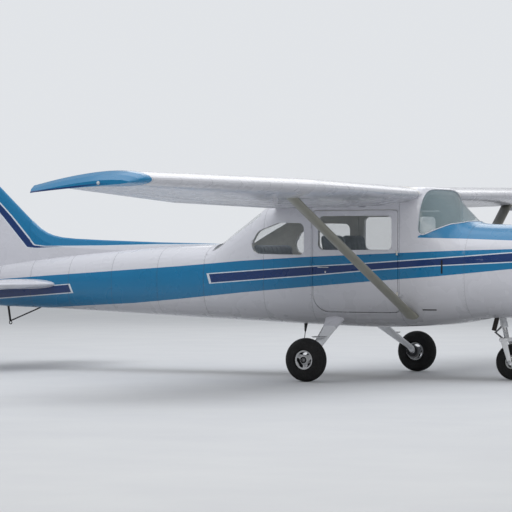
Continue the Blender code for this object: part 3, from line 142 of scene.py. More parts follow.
WING_QUARTER_Z = 1.807


def linear(hex_colour: str) -> tuple[float, float, float, float]:
    """An sRGB hex colour as linear RGBA with full alpha."""
    values = [int(hex_colour[i:i + 2], 16) / 255 for i in (1, 3, 5)]
    return (*[v / 12.92 if v <= 0.04045 else ((v + 0.055) / 1.055) ** 2.4 for v in values], 1.0)


def add_node(tree: bpy.types.NodeTree, kind: str, inputs: dict | None = None, **settings: object) -> bpy.types.Node:
    """Adds a shader node with its settings, and fills its inputs with values or links.

    Args:
        tree: the material's node tree.
        kind: the node's type name without the ShaderNode prefix.
        inputs: socket name or index to a value, or to another node's output socket.
        settings: attributes set on the node first.

    Returns:
        The new node.
    """
    node = tree.nodes.new("ShaderNode" + kind)
    for key, value in settings.items():
        setattr(node, key, value)
    for key, value in (inputs or {}).items():
        plug(tree, node.inputs[key], value)
    return node


def plug(tree: bpy.types.NodeTree, socket: Socket, value: object) -> None:
    """Links an input to another node's output, or sets its value.

    Args:
        tree: the node tree.
        socket: the input.
        value: another node's output, or a plain value.
    """
    if isinstance(value, Socket):
        tree.links.new(value, socket)
    else:
        socket.default_value = value


class Mixer:
    """A material under construction: its shader, and arithmetic on sockets."""

    def __init__(self, name: str) -> None:
        """Starts a material of that name with a bare Principled shader.

        Args:
            name: the material's name.
        """
        self.material = bpy.data.materials.new(name)
        self.material.use_nodes = True
        self.tree = self.material.node_tree
        self.shader = self.tree.nodes["Principled BSDF"]
        self.place = add_node(self.tree, "TexCoord").outputs["Object"]
        self.x, self.y, self.z = add_node(self.tree, "SeparateXYZ", {"Vector": self.place}).outputs

    def set(self, **values: object) -> None:
        """Sets or links shader sockets; underscores in the names stand for spaces."""
        for key, value in values.items():
            plug(self.tree, self.shader.inputs[key.replace("_", " ")], value)

    def calc(self, operation: str, first: object, second: object = 0.0) -> Socket:
        """One Math node on two values or sockets."""
        return add_node(self.tree, "Math", {0: first, 1: second}, operation=operation).outputs[0]

    add = partialmethod(calc, "ADD")
    minus = partialmethod(calc, "SUBTRACT")
    times = partialmethod(calc, "MULTIPLY")
    over = partialmethod(calc, "GREATER_THAN")
    under = partialmethod(calc, "LESS_THAN")

    def blend(self, share: object, first: object, second: object, mode: str = "MIX") -> Socket:
        """Mixes two hex colours or colour sockets by a share.

        Args:
            share: how much of the second.
            first: a hex colour or a socket.
            second: the same.
            mode: the way they are blended.

        Returns:
            The colour's socket.
        """
        first, second = (linear(c) if isinstance(c, str) else c for c in (first, second))
        # the colours' sockets are 6 and 7, and their result is 2
        return add_node(self.tree, "Mix", {0: share, 6: first, 7: second}, data_type="RGBA",
                        blend_type=mode).outputs[2]

    def noise(self, size_mm: float, detail: float = 3.0, stretch: Row = (1, 1, 1)) -> Socket:
        """Noise whose features have about a real size, stretched along the axes.

        Args:
            size_mm: the size of a feature.
            detail: how fine it goes.
            stretch: how much longer features are along X, Y and Z.

        Returns:
            The result's socket.
        """
        scaled = add_node(self.tree, "Mapping", {"Vector": self.place, "Scale": tuple(1 / s for s in stretch)})
        return add_node(self.tree, "TexNoise", {"Vector": scaled.outputs[0], "Scale": 1000.0 / size_mm,
                                                "Detail": detail, "Roughness": 0.55}).outputs[0]

    def ramp(self, value: object, low: float, high: float, to_low: float = 0.0, to_high: float = 1.0) -> Socket:
        """Maps a value's range to another range, clamped."""
        return add_node(self.tree, "MapRange", {"Value": value, "From Min": low, "From Max": high, "To Min": to_low,
                                                "To Max": to_high}).outputs[0]

    def bump(self, height: object, distance_mm: float, strength: float = 1.0, below: Socket | None = None) -> Socket:
        """A bump normal of a real depth, over an earlier one.

        Args:
            height: the socket read as a height.
            distance_mm: the real depth.
            strength: how strong it shows.
            below: the earlier normal.

        Returns:
            The result's socket.
        """
        earlier = {} if below is None else {"Normal": below}
        return add_node(self.tree, "Bump", {"Height": height, "Distance": distance_mm / 1000, "Strength": strength,
                                            **earlier}).outputs[0]

    def curve(self, value: object, points: Sequence[Row], ends: Row, reach: Row) -> Socket:
        """A run of straight lines through real (value, result) points.

        Args:
            value: the socket read.
            points: (value, result) pairs, left to right.
            ends: the value at the curve's left and right end.
            reach: the result at the curve's foot and top.

        Returns:
            The result's socket.
        """
        (low, high), (foot, top) = ends, reach
        node = add_node(self.tree, "FloatCurve", {"Value": self.ramp(value, low, high)})
        line = node.mapping.curves[0]
        scaled = [((p - low) / (high - low), (q - foot) / (top - foot)) for p, q in points]
        scaled = [(0.0, scaled[0][1])] + [s for s in scaled if 0.001 < s[0] < 0.999] + [(1.0, scaled[-1][1])]
        while len(line.points) < len(scaled):
            line.points.new(0.5, 0.5)
        for point, place in zip(line.points, scaled):
            point.location = place
            point.handle_type = "VECTOR"
        node.mapping.update()
        return add_node(self.tree, "MapRange", {"Value": node.outputs[0], "To Min": foot, "To Max": top}).outputs[0]

    def near(self, value: object, target: object, half_width: float) -> Socket:
        """One where the value is within half_width of the target."""
        return self.under(self.calc("ABSOLUTE", self.minus(value, target)), half_width)

    def between(self, value: object, low: object, high: object) -> Socket:
        """One where the value lies between two others."""
        return self.times(self.over(value, low), self.under(value, high))

    def either(self, first: object, second: object) -> Socket:
        """The larger of two masks."""
        return self.calc("MAXIMUM", first, second)


class Livery(Enum):
    """Which part of the paint scheme a painted skin carries."""

    PLAIN = "plain"
    HULL = "hull"
    FIN = "fin"
    WING = "wing"
    TIP = "tip"


# Station and height along each edge of the stripes on the hull's side
HULL_LINES = {
    "band_top": ((-1.0, 1.317), (-0.352, 1.299), (0.230, 1.284), (0.903, 1.257), (1.856, 1.219), (2.631, 1.178),
                 (3.425, 1.120), (4.803, 1.034), (5.139, 1.014), (7.0, 0.890)),
    "band_foot": ((-1.0, 1.160), (-0.352, 1.105), (0.450, 1.028), (1.184, 0.973), (1.856, 0.917), (2.631, 0.854),
                  (3.425, 0.779), (4.048, 0.727), (4.718, 0.692), (7.0, 0.560)),
    "stripe_top": ((-1.0, 1.306), (-0.352, 1.260), (0.451, 1.201), (1.278, 1.146), (1.856, 1.116), (3.114, 1.034),
                   (7.0, 0.780)),
    "stripe_foot": ((-1.0, 1.218), (-0.352, 1.177), (0.450, 1.138), (1.184, 1.089), (1.856, 1.033), (3.085, 0.946),
                    (7.0, 0.667))}
# The same for the fin's bands: light, dark and blue, from the tail's base up
FIN_LINES = {
    "blue": ((3.00, 1.352), (3.90, 1.350), (4.60, 1.335), (5.30, 1.330), (5.44, 1.345), (5.74, 1.660), (7.20, 3.000)),
    "dark_top": ((3.00, 1.352), (3.90, 1.342), (4.60, 1.325), (5.32, 1.322), (5.455, 1.335), (5.755, 1.652),
                 (7.20, 2.994)),
    "dark_foot": ((3.00, 1.352), (4.90, 1.330), (5.42, 1.308), (5.54, 1.318), (5.845, 1.640), (7.20, 2.936)),
    "light_foot": ((3.00, 1.342), (4.90, 1.322), (5.42, 1.300), (5.55, 1.309), (5.857, 1.634), (7.20, 2.924))}
NOSE_LINE = ((-1.0, 1.36), (0.14, 1.400), (0.621, 1.412), (1.2, 1.43))
# The blue above the nose ends at the windscreen's foot
GLASS_FOOT = ((-1.0, 1.99), (0.13, 1.99), (0.14, 1.615), (0.34, 1.565), (0.621, 1.424), (0.65, 1.30), (1.2, 1.2))
TIP_STREAK = ((0.8, 1.872), (1.3, 1.848), (2.0, 1.786))


@dataclass(frozen=True)
class Finish:
    """A named finish."""

    name: str

    def build(self) -> bpy.types.Material:
        """The material.

        Returns:
            The material.
        """
        mix = Mixer(self.name)
        self.paint(mix)
        return mix.material


@dataclass(frozen=True)
class PaintedAluminium(Finish):
    """Two-pack enamel sprayed on riveted aluminium sheet: an even gloss, softly rippled between the rivets."""

    livery: Livery = Livery.PLAIN
    base: str = "#DADAE0"
    roughness: float = 0.27
    seams: tuple[float, ...] = ()
    light_blue: str = "#0077A8"
    dark_blue: str = "#06326C"
    pinstripe: str = "#DCE3EA"
    rivet_pitch: float = 0.042

    def hull_colour(self, mix: Mixer, station: Socket) -> Socket:
        """The hull's white, its blue band, the dark stripe with thin light edges, and the blue above the nose.

        Args:
            mix: the material under way.
            station: the socket of metres aft of the firewall.

        Returns:
            The colour's socket.
        """
        edge = {key: mix.curve(station, points, (-1.0, 7.0), (0.4, 1.6)) for key, points in HULL_LINES.items()}
        band = mix.between(mix.z, edge["band_foot"], edge["band_top"])
        foot, top = edge["stripe_foot"], edge["stripe_top"]
        pin, tail_drop, tail_rise = 0.010, 0.004, 0.014
        # the stripe's rear end and its second start by the tail both slope with height
        stripe_end = mix.add(3.02, mix.times(mix.minus(mix.z, 0.946), 0.33))
        ahead = mix.under(station, mix.add(stripe_end, 0.030))
        ahead_core = mix.under(station, stripe_end)
        tail_start = mix.add(4.862, mix.times(mix.minus(mix.z, 0.833), 0.45))
        behind = mix.over(station, mix.minus(tail_start, 0.026))
        behind_core = mix.over(station, tail_start)
        outer = mix.between(mix.z, mix.minus(foot, pin), mix.add(top, pin))
        inner = mix.between(mix.z, foot, top)
        tail_outer = mix.between(mix.z, mix.minus(foot, pin - tail_rise), mix.add(top, pin - tail_drop))
        tail_inner = mix.between(mix.z, mix.add(foot, tail_rise), mix.minus(top, tail_drop))
        nose_line = mix.curve(station, NOSE_LINE, (-1.0, 1.2), (1.2, 1.6))
        nose = mix.between(mix.z, nose_line, mix.curve(station, GLASS_FOOT, (-1.0, 1.2), (1.2, 2.0)))
        colour = mix.blend(mix.either(band, nose), self.base, self.light_blue)
        pale = mix.either(mix.times(outer, ahead), mix.times(tail_outer, behind))
        dark = mix.either(mix.times(inner, ahead_core), mix.times(tail_inner, behind_core))
        return mix.blend(dark, mix.blend(pale, colour, self.pinstripe), self.dark_blue)

    def fin_colour(self, mix: Mixer, station: Socket) -> Socket:
        """The fin's blue leading band that runs on along the dorsal, the dark band behind it, and thin light lines.

        Args:
            mix: the material under way.
            station: the socket of metres aft of the firewall.

        Returns:
            The colour's socket.
        """
        edge = {key: mix.curve(station, points, (3.0, 7.2), (0.6, 3.1)) for key, points in FIN_LINES.items()}
        colour = self.base
        for key, paint in (("light_foot", self.pinstripe), ("dark_foot", self.dark_blue),
                           ("dark_top", self.pinstripe), ("blue", self.light_blue)):
            colour = mix.blend(mix.over(mix.z, edge[key]), colour, paint)
        return colour

    def tip_colour(self, mix: Mixer, station: Socket) -> Socket:
        """The wing tip's blue with one dark streak low and aft.

        Args:
            mix: the material under way.
            station: the socket of metres aft of the firewall.

        Returns:
            The colour's socket.
        """
        line = mix.curve(station, TIP_STREAK, (0.8, 2.0), (1.7, 2.0))
        fade = mix.ramp(station, 1.12, 1.45)
        return mix.blend(mix.times(mix.near(mix.z, line, 0.007), fade), self.light_blue, self.dark_blue)

    def seam_lines(self, mix: Mixer, station: Socket) -> tuple[Socket, Socket]:
        """Masks of the lap joints and of the row of rivets behind each.

        Args:
            mix: the material under way.
            station: the socket of metres aft of the firewall.

        Returns:
            The mask of the joints and that of the rivets.
        """
        on_wing = self.livery is Livery.WING
        along, across = (mix.calc("ABSOLUTE", mix.y), station) if on_wing else (station, mix.z)
        dots = mix.calc("PINGPONG", across, self.rivet_pitch / 2)
        line = rivets = 0.0
        for seam in self.seams:
            # lap joints are 2 mm steps, drawn 5 mm wide so that they show
            line = mix.either(line, mix.near(along, seam, 0.0028))
            offset = mix.minus(along, seam + 0.012)
            spot = mix.calc("SQRT", mix.add(mix.calc("POWER", offset, 2.0), mix.calc("POWER", dots, 2.0)))
            rivets = mix.either(rivets, mix.ramp(spot, 0.0035, 0.0050, 1.0, 0.0))
        return line, rivets

    def paint(self, mix: Mixer) -> None:
        """The scheme's colours, then dirt, painted shade on the belly and lower flanks, ripples, seams and rivets.

        Args:
            mix: the material under way.
        """
        station = mix.minus(STATION_ZERO_X, mix.x)
        on_hull = self.livery is Livery.HULL
        schemes = {Livery.HULL: self.hull_colour, Livery.FIN: self.fin_colour, Livery.TIP: self.tip_colour}
        colour = schemes[self.livery](mix, station) if self.livery in schemes else mix.blend(0.0, self.base, self.base)
        dirt_and_belly_shade = mix.ramp(mix.noise(520, 4.0, (2.5, 1.0, 1.0)), 0.50, 0.80, 0.0, 0.08)
        # on the hull, painted shade darkens the belly by height, broken into streaks, on top of the random dirt
        if on_hull:
            belly = mix.ramp(mix.z, 0.50, 0.78, 0.34, 0.0)
            belly_shade_streaks = mix.ramp(mix.noise(420, 4.0, (4.0, 1.0, 1.0)), 0.3, 0.7, 0.5, 1.0)
            dirt_and_belly_shade = mix.add(dirt_and_belly_shade, mix.times(belly, belly_shade_streaks))
        colour = mix.blend(dirt_and_belly_shade, colour, "#6E6A60", "MULTIPLY")
        if on_hull:
            # painted shade: the lower flanks are darkened towards the bottom
            flank_shade = mix.ramp(mix.z, 0.52, 1.02, 0.46, 0.0)
            colour = mix.blend(flank_shade, colour, "#56554E", "MULTIPLY")
        normal = mix.bump(mix.noise(330, 1.0), 1.6, 0.25)
        if self.seams:
            line, rivets = self.seam_lines(mix, station)
            colour = mix.blend(mix.times(line, 0.42), colour, "#3C3E44")
            colour = mix.blend(mix.times(rivets, 0.22), colour, "#4A4C52")
            normal = mix.bump(mix.minus(rivets, line), 1.5, 0.6, normal)
        gloss = mix.ramp(mix.noise(260, 2.0), 0.3, 0.75, self.roughness - 0.02, self.roughness + 0.05)
        mix.set(Base_Color=colour, Roughness=gloss, Normal=normal, IOR=1.48, Coat_Weight=0.35, Coat_Roughness=0.12)


@dataclass(frozen=True)
class Acrylic(Finish):
    """Polished cast acrylic sheet: clear, faintly green-grey at its edges, with a sharp sheen."""

    tint: str = "#A9B4B8"
    alpha: float = 0.14

    def paint(self, mix: Mixer) -> None:
        """A clear sheet with a little haze.

        Args:
            mix: the material under way.
        """
        haze = mix.ramp(mix.noise(120), 0.45, 0.8, 0.02, 0.09)
        mix.set(Base_Color=linear(self.tint), Roughness=haze, IOR=1.49, Alpha=self.alpha, Specular_IOR_Level=0.85)
        mix.material.surface_render_method = "BLENDED"


@dataclass(frozen=True)
class Rubber(Finish):
    """Cured carbon-black rubber: matt, slightly dusty, with a faint mould grain."""

    base: str = "#0E0E10"
    dust: str = "#3A3833"
    dusty: float = 0.22

    def paint(self, mix: Mixer) -> None:
        """Dust in patches over the grain.

        Args:
            mix: the material under way.
        """
        dust = mix.times(mix.ramp(mix.noise(160, 4.0), 0.40, 0.75), self.dusty)
        mix.set(Base_Color=mix.blend(dust, self.base, self.dust),
                Roughness=mix.ramp(mix.noise(14, 4.0), 0.3, 0.7, 0.68, 0.90),
                Normal=mix.bump(mix.noise(5), 0.5, 0.35), IOR=1.52, Specular_IOR_Level=0.4)


@dataclass(frozen=True)
class Metal(Finish):
    """A bare, painted or heat-stained metal surface, with fine wear."""

    base: str
    worn: str
    metallic: float = 1.0
    roughness: float = 0.35
    wear: float = 0.4
    grain_mm: float = 18.0
    bump_mm: float = 0.25

    def paint(self, mix: Mixer) -> None:
        """Worn patches, an uneven sheen and a fine grain.

        Args:
            mix: the material under way.
        """
        patches = mix.times(mix.ramp(mix.noise(self.grain_mm * 4, 5.0), 0.48, 0.72), self.wear)
        mix.set(Base_Color=mix.blend(patches, self.base, self.worn),
                Roughness=mix.ramp(mix.noise(self.grain_mm, 4.0), 0.25, 0.75, self.roughness - 0.08,
                                   self.roughness + 0.14),
                Normal=mix.bump(mix.noise(self.grain_mm / 3), self.bump_mm, 0.4), Metallic=self.metallic)


@dataclass(frozen=True)
class Moulding(Finish):
    """Injection-moulded ABS or vinyl with a fine leather-like grain."""

    base: str
    roughness: float
    grain_mm: float = 3.0

    def paint(self, mix: Mixer) -> None:
        """Small cells pressed into a slightly uneven tone.

        Args:
            mix: the material under way.
        """
        cells = add_node(mix.tree, "TexVoronoi", {"Vector": mix.place, "Scale": 1000 / self.grain_mm})
        tone = mix.ramp(mix.noise(80, 4.0), 0.3, 0.8, 0.0, 0.22)
        mix.set(Base_Color=mix.blend(tone, self.base, "#7A7C80"), Roughness=self.roughness,
                Normal=mix.bump(cells.outputs["Distance"], 0.3, 0.35), IOR=1.5)


@dataclass(frozen=True)
class SeatCloth(Finish):
    """Woven polyester seat cloth: crossed threads drawn 5 mm apart so that they show, with a soft sheen."""

    base: str = "#4A4F5C"
    thread: str = "#79808E"
    pitch_mm: float = 5.0

    def paint(self, mix: Mixer) -> None:
        """Crossed waves of thread with flecks between them.

        Args:
            mix: the material under way.
        """
        waves = [mix.calc("SINE", mix.times(axis, 2000 * math.pi / self.pitch_mm)) for axis in (mix.x, mix.y, mix.z)]
        weave = mix.times(mix.times(waves[0], waves[1]), 0.5)
        weave = mix.add(weave, mix.times(waves[2], 0.5))
        share = mix.ramp(mix.add(weave, mix.ramp(mix.noise(9, 4.0), 0.35, 0.7)), -0.4, 1.6)
        mix.set(Base_Color=mix.blend(share, self.base, self.thread), Normal=mix.bump(weave, 0.8, 0.5),
                Roughness=0.9, Sheen_Weight=0.35, Sheen_Roughness=0.5)


@dataclass(frozen=True)
class Lamp(Finish):
    """A moulded polycarbonate lens: glossy, deeply coloured and finely ribbed."""

    base: str

    def paint(self, mix: Mixer) -> None:
        """Clear coloured plastic with level ribs.

        Args:
            mix: the material under way.
        """
        ribs = mix.calc("SINE", mix.times(mix.z, 2000 * math.pi / 3))
        mix.set(Base_Color=linear(self.base), Normal=mix.bump(ribs, 0.3, 0.3),
                Roughness=mix.ramp(mix.noise(10, 2.0), 0.3, 0.7, 0.08, 0.16), IOR=1.58, Coat_Weight=0.6,
                Transmission_Weight=0.25)


class Paintbox:
    """All the finishes, each made on first use."""

    RECIPES = {finish.name: finish for finish in (
        PaintedAluminium("hull_enamel", Livery.HULL, seams=(
            0.14, 0.82, 1.80, 2.36, 3.12, 3.72, 4.32, 4.90, 5.42, 5.86)),
        PaintedAluminium("door_enamel", Livery.HULL),
        PaintedAluminium("cowl_enamel", Livery.HULL),
        PaintedAluminium("fin_enamel", Livery.FIN),
        # the wing's white gets a darker base than the hull's: painted shade that keeps its lit top from glaring
        PaintedAluminium("wing_enamel", Livery.WING, "#CCCCD1", seams=(
            0.52, 0.90, 1.28, 1.66, 2.04, 2.54, 3.00, 3.46, 3.92, 4.38, 4.84, 5.26)),
        PaintedAluminium("tip_enamel", Livery.TIP),
        PaintedAluminium("plain_enamel"),
        # the struts' white paint gets an olive-grey base: painted shade and a painted reflection of dark ground
        PaintedAluminium("strut_enamel", base="#86857A", roughness=0.30),
        PaintedAluminium("gear_enamel", base="#ECEDEF", roughness=0.34),
        Acrylic("acrylic_sheet"),
        Acrylic("windscreen_sheet", "#8FA5AB", 0.46),
        Rubber("tyre_rubber"),
        Rubber("seal_rubber", "#1E1F22", "#55534E", 0.15),
        Metal("rim_enamel", "#E2E3E5", "#8A8982", 0.05, 0.36, 0.3),
        # dark iron for caps and fittings, also used as painted shade on the wheels' barrels
        Metal("hub_iron", "#2A2A2C", "#4C4843", 0.6, 0.5, 0.5),
        Metal("bright_steel", "#C9CACC", "#8E8D8A", 1.0, 0.18, 0.25),
        Metal("dull_steel", "#7F8083", "#55534F", 0.9, 0.42),
        Metal("exhaust_steel", "#35312F", "#211E1C", 0.8, 0.5, 0.6),
        Metal("cast_metal", "#3A3B3E", "#5E5C58", 0.7, 0.55, 0.5, 12.0, 0.6),
        Metal("prop_black", "#1D1E20", "#56585B", 0.2, 0.42, 0.35),
        Metal("prop_tip_paint", "#D8D9DA", "#8D8E90", 0.0, 0.35, 0.3),
        Metal("disc_steel", "#8A8A8C", "#5A4A40", 1.0, 0.32, 0.5),
        Moulding("trim_vinyl", "#E2DED4", 0.6),
        Moulding("panel_black", "#191A1C", 0.6),
        Moulding("dial_face", "#0D0D0F", 0.35, 2.0),
        Moulding("dial_mark", "#E8E8E4", 0.5, 2.0),
        # painted shade: a near-black sheet that stands for the shade inside openings
        Moulding("inlet_black", "#0B0B0C", 0.8),
        SeatCloth("carpet", "#3A3D44", "#5A5E66", 6.0),
        SeatCloth("seat_cloth"),
        Lamp("red_lens", "#A01512"),
        Lamp("green_lens", "#0F7A3A"),
        Lamp("clear_lens", "#D5DBDF"))}

    def __init__(self) -> None:
        """Starts with no finish made."""
        self.made: dict[str, bpy.types.Material] = {}

    def __getitem__(self, name: str) -> bpy.types.Material:
        """The finish of that name.

        Args:
            name: the finish's name.

        Returns:
            The material.
        """
        if name not in self.made:
            self.made[name] = self.RECIPES[name].build()
        return self.made[name]


PAINTS = Paintbox()
# The record's slot that each finish stands for
SLOTS = {finish: slot for slot, finishes in {
    "white_enamel": "hull_enamel door_enamel cowl_enamel fin_enamel wing_enamel plain_enamel dial_mark",
    "blue_enamel": "tip_enamel", "painted_steel": "strut_enamel gear_enamel",
    "glazing": "acrylic_sheet windscreen_sheet clear_lens", "tyre_rubber": "tyre_rubber seal_rubber",
    "polished_metal": "bright_steel dull_steel disc_steel", "dark_casting": "hub_iron cast_metal inlet_black",
    "exhaust_steel": "exhaust_steel", "black_plastic": "panel_black dial_face", "grey_fabric": "seat_cloth",
    "red_lens": "red_lens", "green_lens": "green_lens"}.items() for finish in finishes.split()}


# Points nearer to each other than this become one; where a spun profile closes, a little further
MERGE = 0.00002
SPIN_MERGE = 0.00003


def pick(*things: Thing) -> Thing | None:
    """Makes these objects, or none, the only selected ones, with the first active.

    Args:
        things: the pieces.

    Returns:
        The first of them, if any.
    """
    for other in bpy.context.selected_objects:
        other.select_set(False)
    for thing in things:
        thing.select_set(True)
    if things:
        bpy.context.view_layer.objects.active = things[0]
    return things[0] if things else None


def settle(thing: Thing) -> Thing:
    """Applies an object's place to its mesh, so that it sits at the origin.

    Args:
        thing: the piece.

    Returns:
        The piece.
    """
    pick(thing)
    bpy.ops.object.transform_apply(location=True, rotation=True, scale=True)
    return thing


def link(holder: Thing) -> Thing:
    """Puts a new object in the scene."""
    bpy.context.scene.collection.objects.link(holder)
    return holder


def from_shape(shape: bmesh.types.BMesh) -> Thing:
    """A new object from a shape, which is freed.

    Args:
        shape: the editable mesh, freed here.

    Returns:
        The piece.
    """
    mesh = bpy.data.meshes.new("part")
    shape.to_mesh(mesh)
    shape.free()
    return link(bpy.data.objects.new("part", mesh))


def apply_modifier(thing: Thing, kind: str, **settings: object) -> Thing:
    """Adds a modifier with its settings and applies it.

    Args:
        thing: the piece.
        kind: the modifier's type.
        settings: attributes set on it.

    Returns:
        The piece.
    """
    pick(thing)
    modifier = thing.modifiers.new(kind.lower(), kind)
    for key, value in settings.items():
        setattr(modifier, key, value)
    bpy.ops.object.modifier_apply(modifier=modifier.name)
    return thing


def smooth(thing: Thing, degrees: float = 32.0) -> Thing:
    """Shades smooth but for edges sharper than an angle.

    Args:
        thing: the piece.
        degrees: the angle.

    Returns:
        The piece.
    """
    pick(thing)
    bpy.ops.object.shade_smooth_by_angle(angle=math.radians(degrees))
    return thing


def outward(thing: Thing) -> Thing:
    """Merges doubles and points all faces outwards.

    Args:
        thing: the piece.

    Returns:
        The piece.
    """
    pick(thing)
    bpy.ops.object.mode_set(mode="EDIT")
    bpy.ops.mesh.select_all(action="SELECT")
    bpy.ops.mesh.remove_doubles(threshold=MERGE)
    bpy.ops.mesh.normals_make_consistent(inside=False)
    bpy.ops.object.mode_set(mode="OBJECT")
    return thing


def block(low: Row, high: Row, bevel: float = 0.0, segments: int = 3) -> Thing:
    """A box between two corners, with its edges rounded.

    Args:
        low: one corner.
        high: the opposite corner.
        bevel: the radius of its edges.
        segments: how many faces round an edge.

    Returns:
        The piece, settled at the origin.
    """
    low, high = Vector(low), Vector(high)
    pick()
    bpy.ops.mesh.primitive_cube_add(size=1.0, location=(low + high) / 2)
    thing = bpy.context.active_object
    thing.scale = [max(abs(v), 0.0002) for v in high - low]
    settle(thing)
    if bevel > 0:
        apply_modifier(thing, "BEVEL", width=bevel, segments=segments, limit_method="ANGLE")
    return smooth(thing)


def bar(start: Row, end: Row, radius: float, sides: int = 24, bevel: float = 0.0, end_radius: float = 0.0) -> Thing:
    """A round bar or cone between two points, with its rims rounded.

    Args:
        start: where it starts.
        end: where it ends.
        radius: its radius at the start.
        sides: how many faces are round it.
        bevel: the radius of its rims.
        end_radius: its radius at the end, where it is a cone.

    Returns:
        The piece.
    """
    start, end = Vector(start), Vector(end)
    along = end - start
    pick()
    bpy.ops.mesh.primitive_cone_add(vertices=sides, radius1=radius, radius2=end_radius or radius, depth=along.length,
                                    location=(start + end) / 2, rotation=along.to_track_quat("Z", "Y").to_euler())
    thing = settle(bpy.context.active_object)
    if bevel > 0:
        apply_modifier(thing, "BEVEL", width=bevel, segments=3, limit_method="ANGLE", angle_limit=math.radians(50))
    return smooth(thing, 40)


def tube(points: Sequence[Row], radius: float, sides: int = 3, closed: bool = False, rounded: bool = True) -> Thing:
    """A round tube along points, as a mesh with closed ends.

    Args:
        points: places along its middle.
        radius: its radius.
        sides: how finely its round is divided.
        closed: whether its ends meet.
        rounded: whether the points pull a curve or are joined straight.

    Returns:
        The piece.
    """
    curve = bpy.data.curves.new("tube", "CURVE")
    curve.dimensions = "3D"
    curve.bevel_depth = radius
    curve.bevel_resolution = sides
    curve.use_fill_caps = True
    line = curve.splines.new("NURBS" if rounded else "POLY")
    line.points.add(len(points) - 1)
    for spot, place in zip(line.points, points):
        spot.co = (*place, 1.0)
    line.use_cyclic_u = closed
    if rounded:
        line.order_u = 3
        line.use_endpoint_u = True
        line.resolution_u = 6
    pick(link(bpy.data.objects.new("tube", curve)))
    bpy.ops.object.convert(target="MESH")
    return smooth(bpy.context.active_object, 50)


def spun(profile: Sequence[Row], centre: Row, axis: str = "Y", steps: int = 64, closed: bool = False) -> Thing:
    """A profile spun round an axis.

    Args:
        profile: (radius, along) points.
        centre: where the axis has its zero.
        axis: Y for a wheel, X for a spinner, Z for something upright.
        steps: faces round the axis.
        closed: whether the last point joins the first.

    Returns:
        The piece, settled at the origin.
    """
    mesh = bpy.data.meshes.new("part")
    count = len(profile)
    edges = [(i, (i + 1) % count) for i in range(count if closed else count - 1)]
    mesh.from_pydata([(r, 0.0, a) for r, a in profile], edges, [])
    thing = pick(link(bpy.data.objects.new("part", mesh)))
    bpy.ops.object.mode_set(mode="EDIT")
    bpy.ops.mesh.select_all(action="SELECT")
    bpy.ops.mesh.spin(steps=steps, angle=2 * math.pi, center=(0, 0, 0), axis=(0, 0, 1))
    bpy.ops.mesh.select_all(action="SELECT")
    bpy.ops.mesh.remove_doubles(threshold=SPIN_MERGE)
    bpy.ops.mesh.normals_make_consistent(inside=False)
    bpy.ops.object.mode_set(mode="OBJECT")
    thing.rotation_euler = {"Y": (-QUARTER_TURN, 0, 0), "X": (0, QUARTER_TURN, 0), "Z": (0, 0, 0)}[axis]
    thing.location = centre
    return smooth(settle(thing), 35)


def lofted(rings: Sequence[Sequence[Vector]]) -> Thing:
    """A skin through closed rings of equally many points, filled at both ends.

    Args:
        rings: closed outlines of equally many points.

    Returns:
        The piece.
    """
    shape = bmesh.new()
    rows = [[shape.verts.new(p) for p in ring] for ring in rings]
    count = len(rows[0])
    for near, far in zip(rows, rows[1:]):
        for i in range(count):
            j = (i + 1) % count
            shape.faces.new((near[i], near[j], far[j], far[i]))
    shape.faces.new(rows[0])
    shape.faces.new(rows[-1])
    bmesh.ops.recalc_face_normals(shape, faces=shape.faces)
    return smooth(from_shape(shape))


def joined(things: Sequence[Thing]) -> Thing:
    """Joins several meshes into one object.

    Args:
        things: the pieces.

    Returns:
        The piece.
    """
    pick(*things)
    if len(things) > 1:
        bpy.ops.object.join()
    return things[0]


def moved(thing: Thing, matrix: Matrix) -> Thing:
    """Moves a mesh by a matrix; a mirrored one's faces are turned the right way again.

    Args:
        thing: the piece.
        matrix: the move.

    Returns:
        The piece.
    """
    thing.data.transform(matrix)
    if matrix.determinant() < 0:
        thing.data.flip_normals()
    return thing


def copy_of(thing: Thing, matrix: Matrix) -> Thing:
    """A copy with its own mesh, moved by a matrix."""
    return moved(link(bpy.data.objects.new("part", thing.data.copy())), matrix)


def cut_by(thing: Thing, cutter: Thing) -> Thing:
    """Cuts one mesh by another, and removes the cutter.

    Args:
        thing: the piece.
        cutter: what is cut away.

    Returns:
        The piece.
    """
    apply_modifier(thing, "BOOLEAN", object=cutter, operation="DIFFERENCE", solver="EXACT")
    bpy.data.objects.remove(cutter)
    return thing


def painted(thing: Thing, *finishes: str) -> Thing:
    """Adds finishes to a piece's materials.

    Args:
        thing: the piece.
        finishes: their names in the paintbox.

    Returns:
        The piece.
    """
    for finish in finishes:
        thing.data.materials.append(PAINTS[finish])
    return thing


def fit(name: str, made: Thing | Sequence[Thing], body: Body, finish: str, replaces: Sequence[str] = (),
        slot: str = "") -> Thing:
    """Gives a finished piece its name, its material, its body and what it stands for, and reports it.

    Args:
        name: the piece's name.
        made: the piece, or the pieces to join into it.
        body: the CAD body that it rides on.
        finish: the finish's name in the paintbox; empty keeps the materials it has.
        replaces: CAD nodes that it stands for.
        slot: the record's material slot, if not the finish's own; not used.

    Returns:
        The piece.
    """
    thing = made if isinstance(made, Thing) else joined(made)
    thing.name = name
    if finish:
        thing.data.materials.clear()
        painted(thing, finish)
    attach(thing, body.value)
    if replaces:
        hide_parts(*replaces)
    slot or SLOTS[finish]
    LOG.info("%s rides on %s: %d faces", name, body.value, len(thing.data.polygons))
    return thing


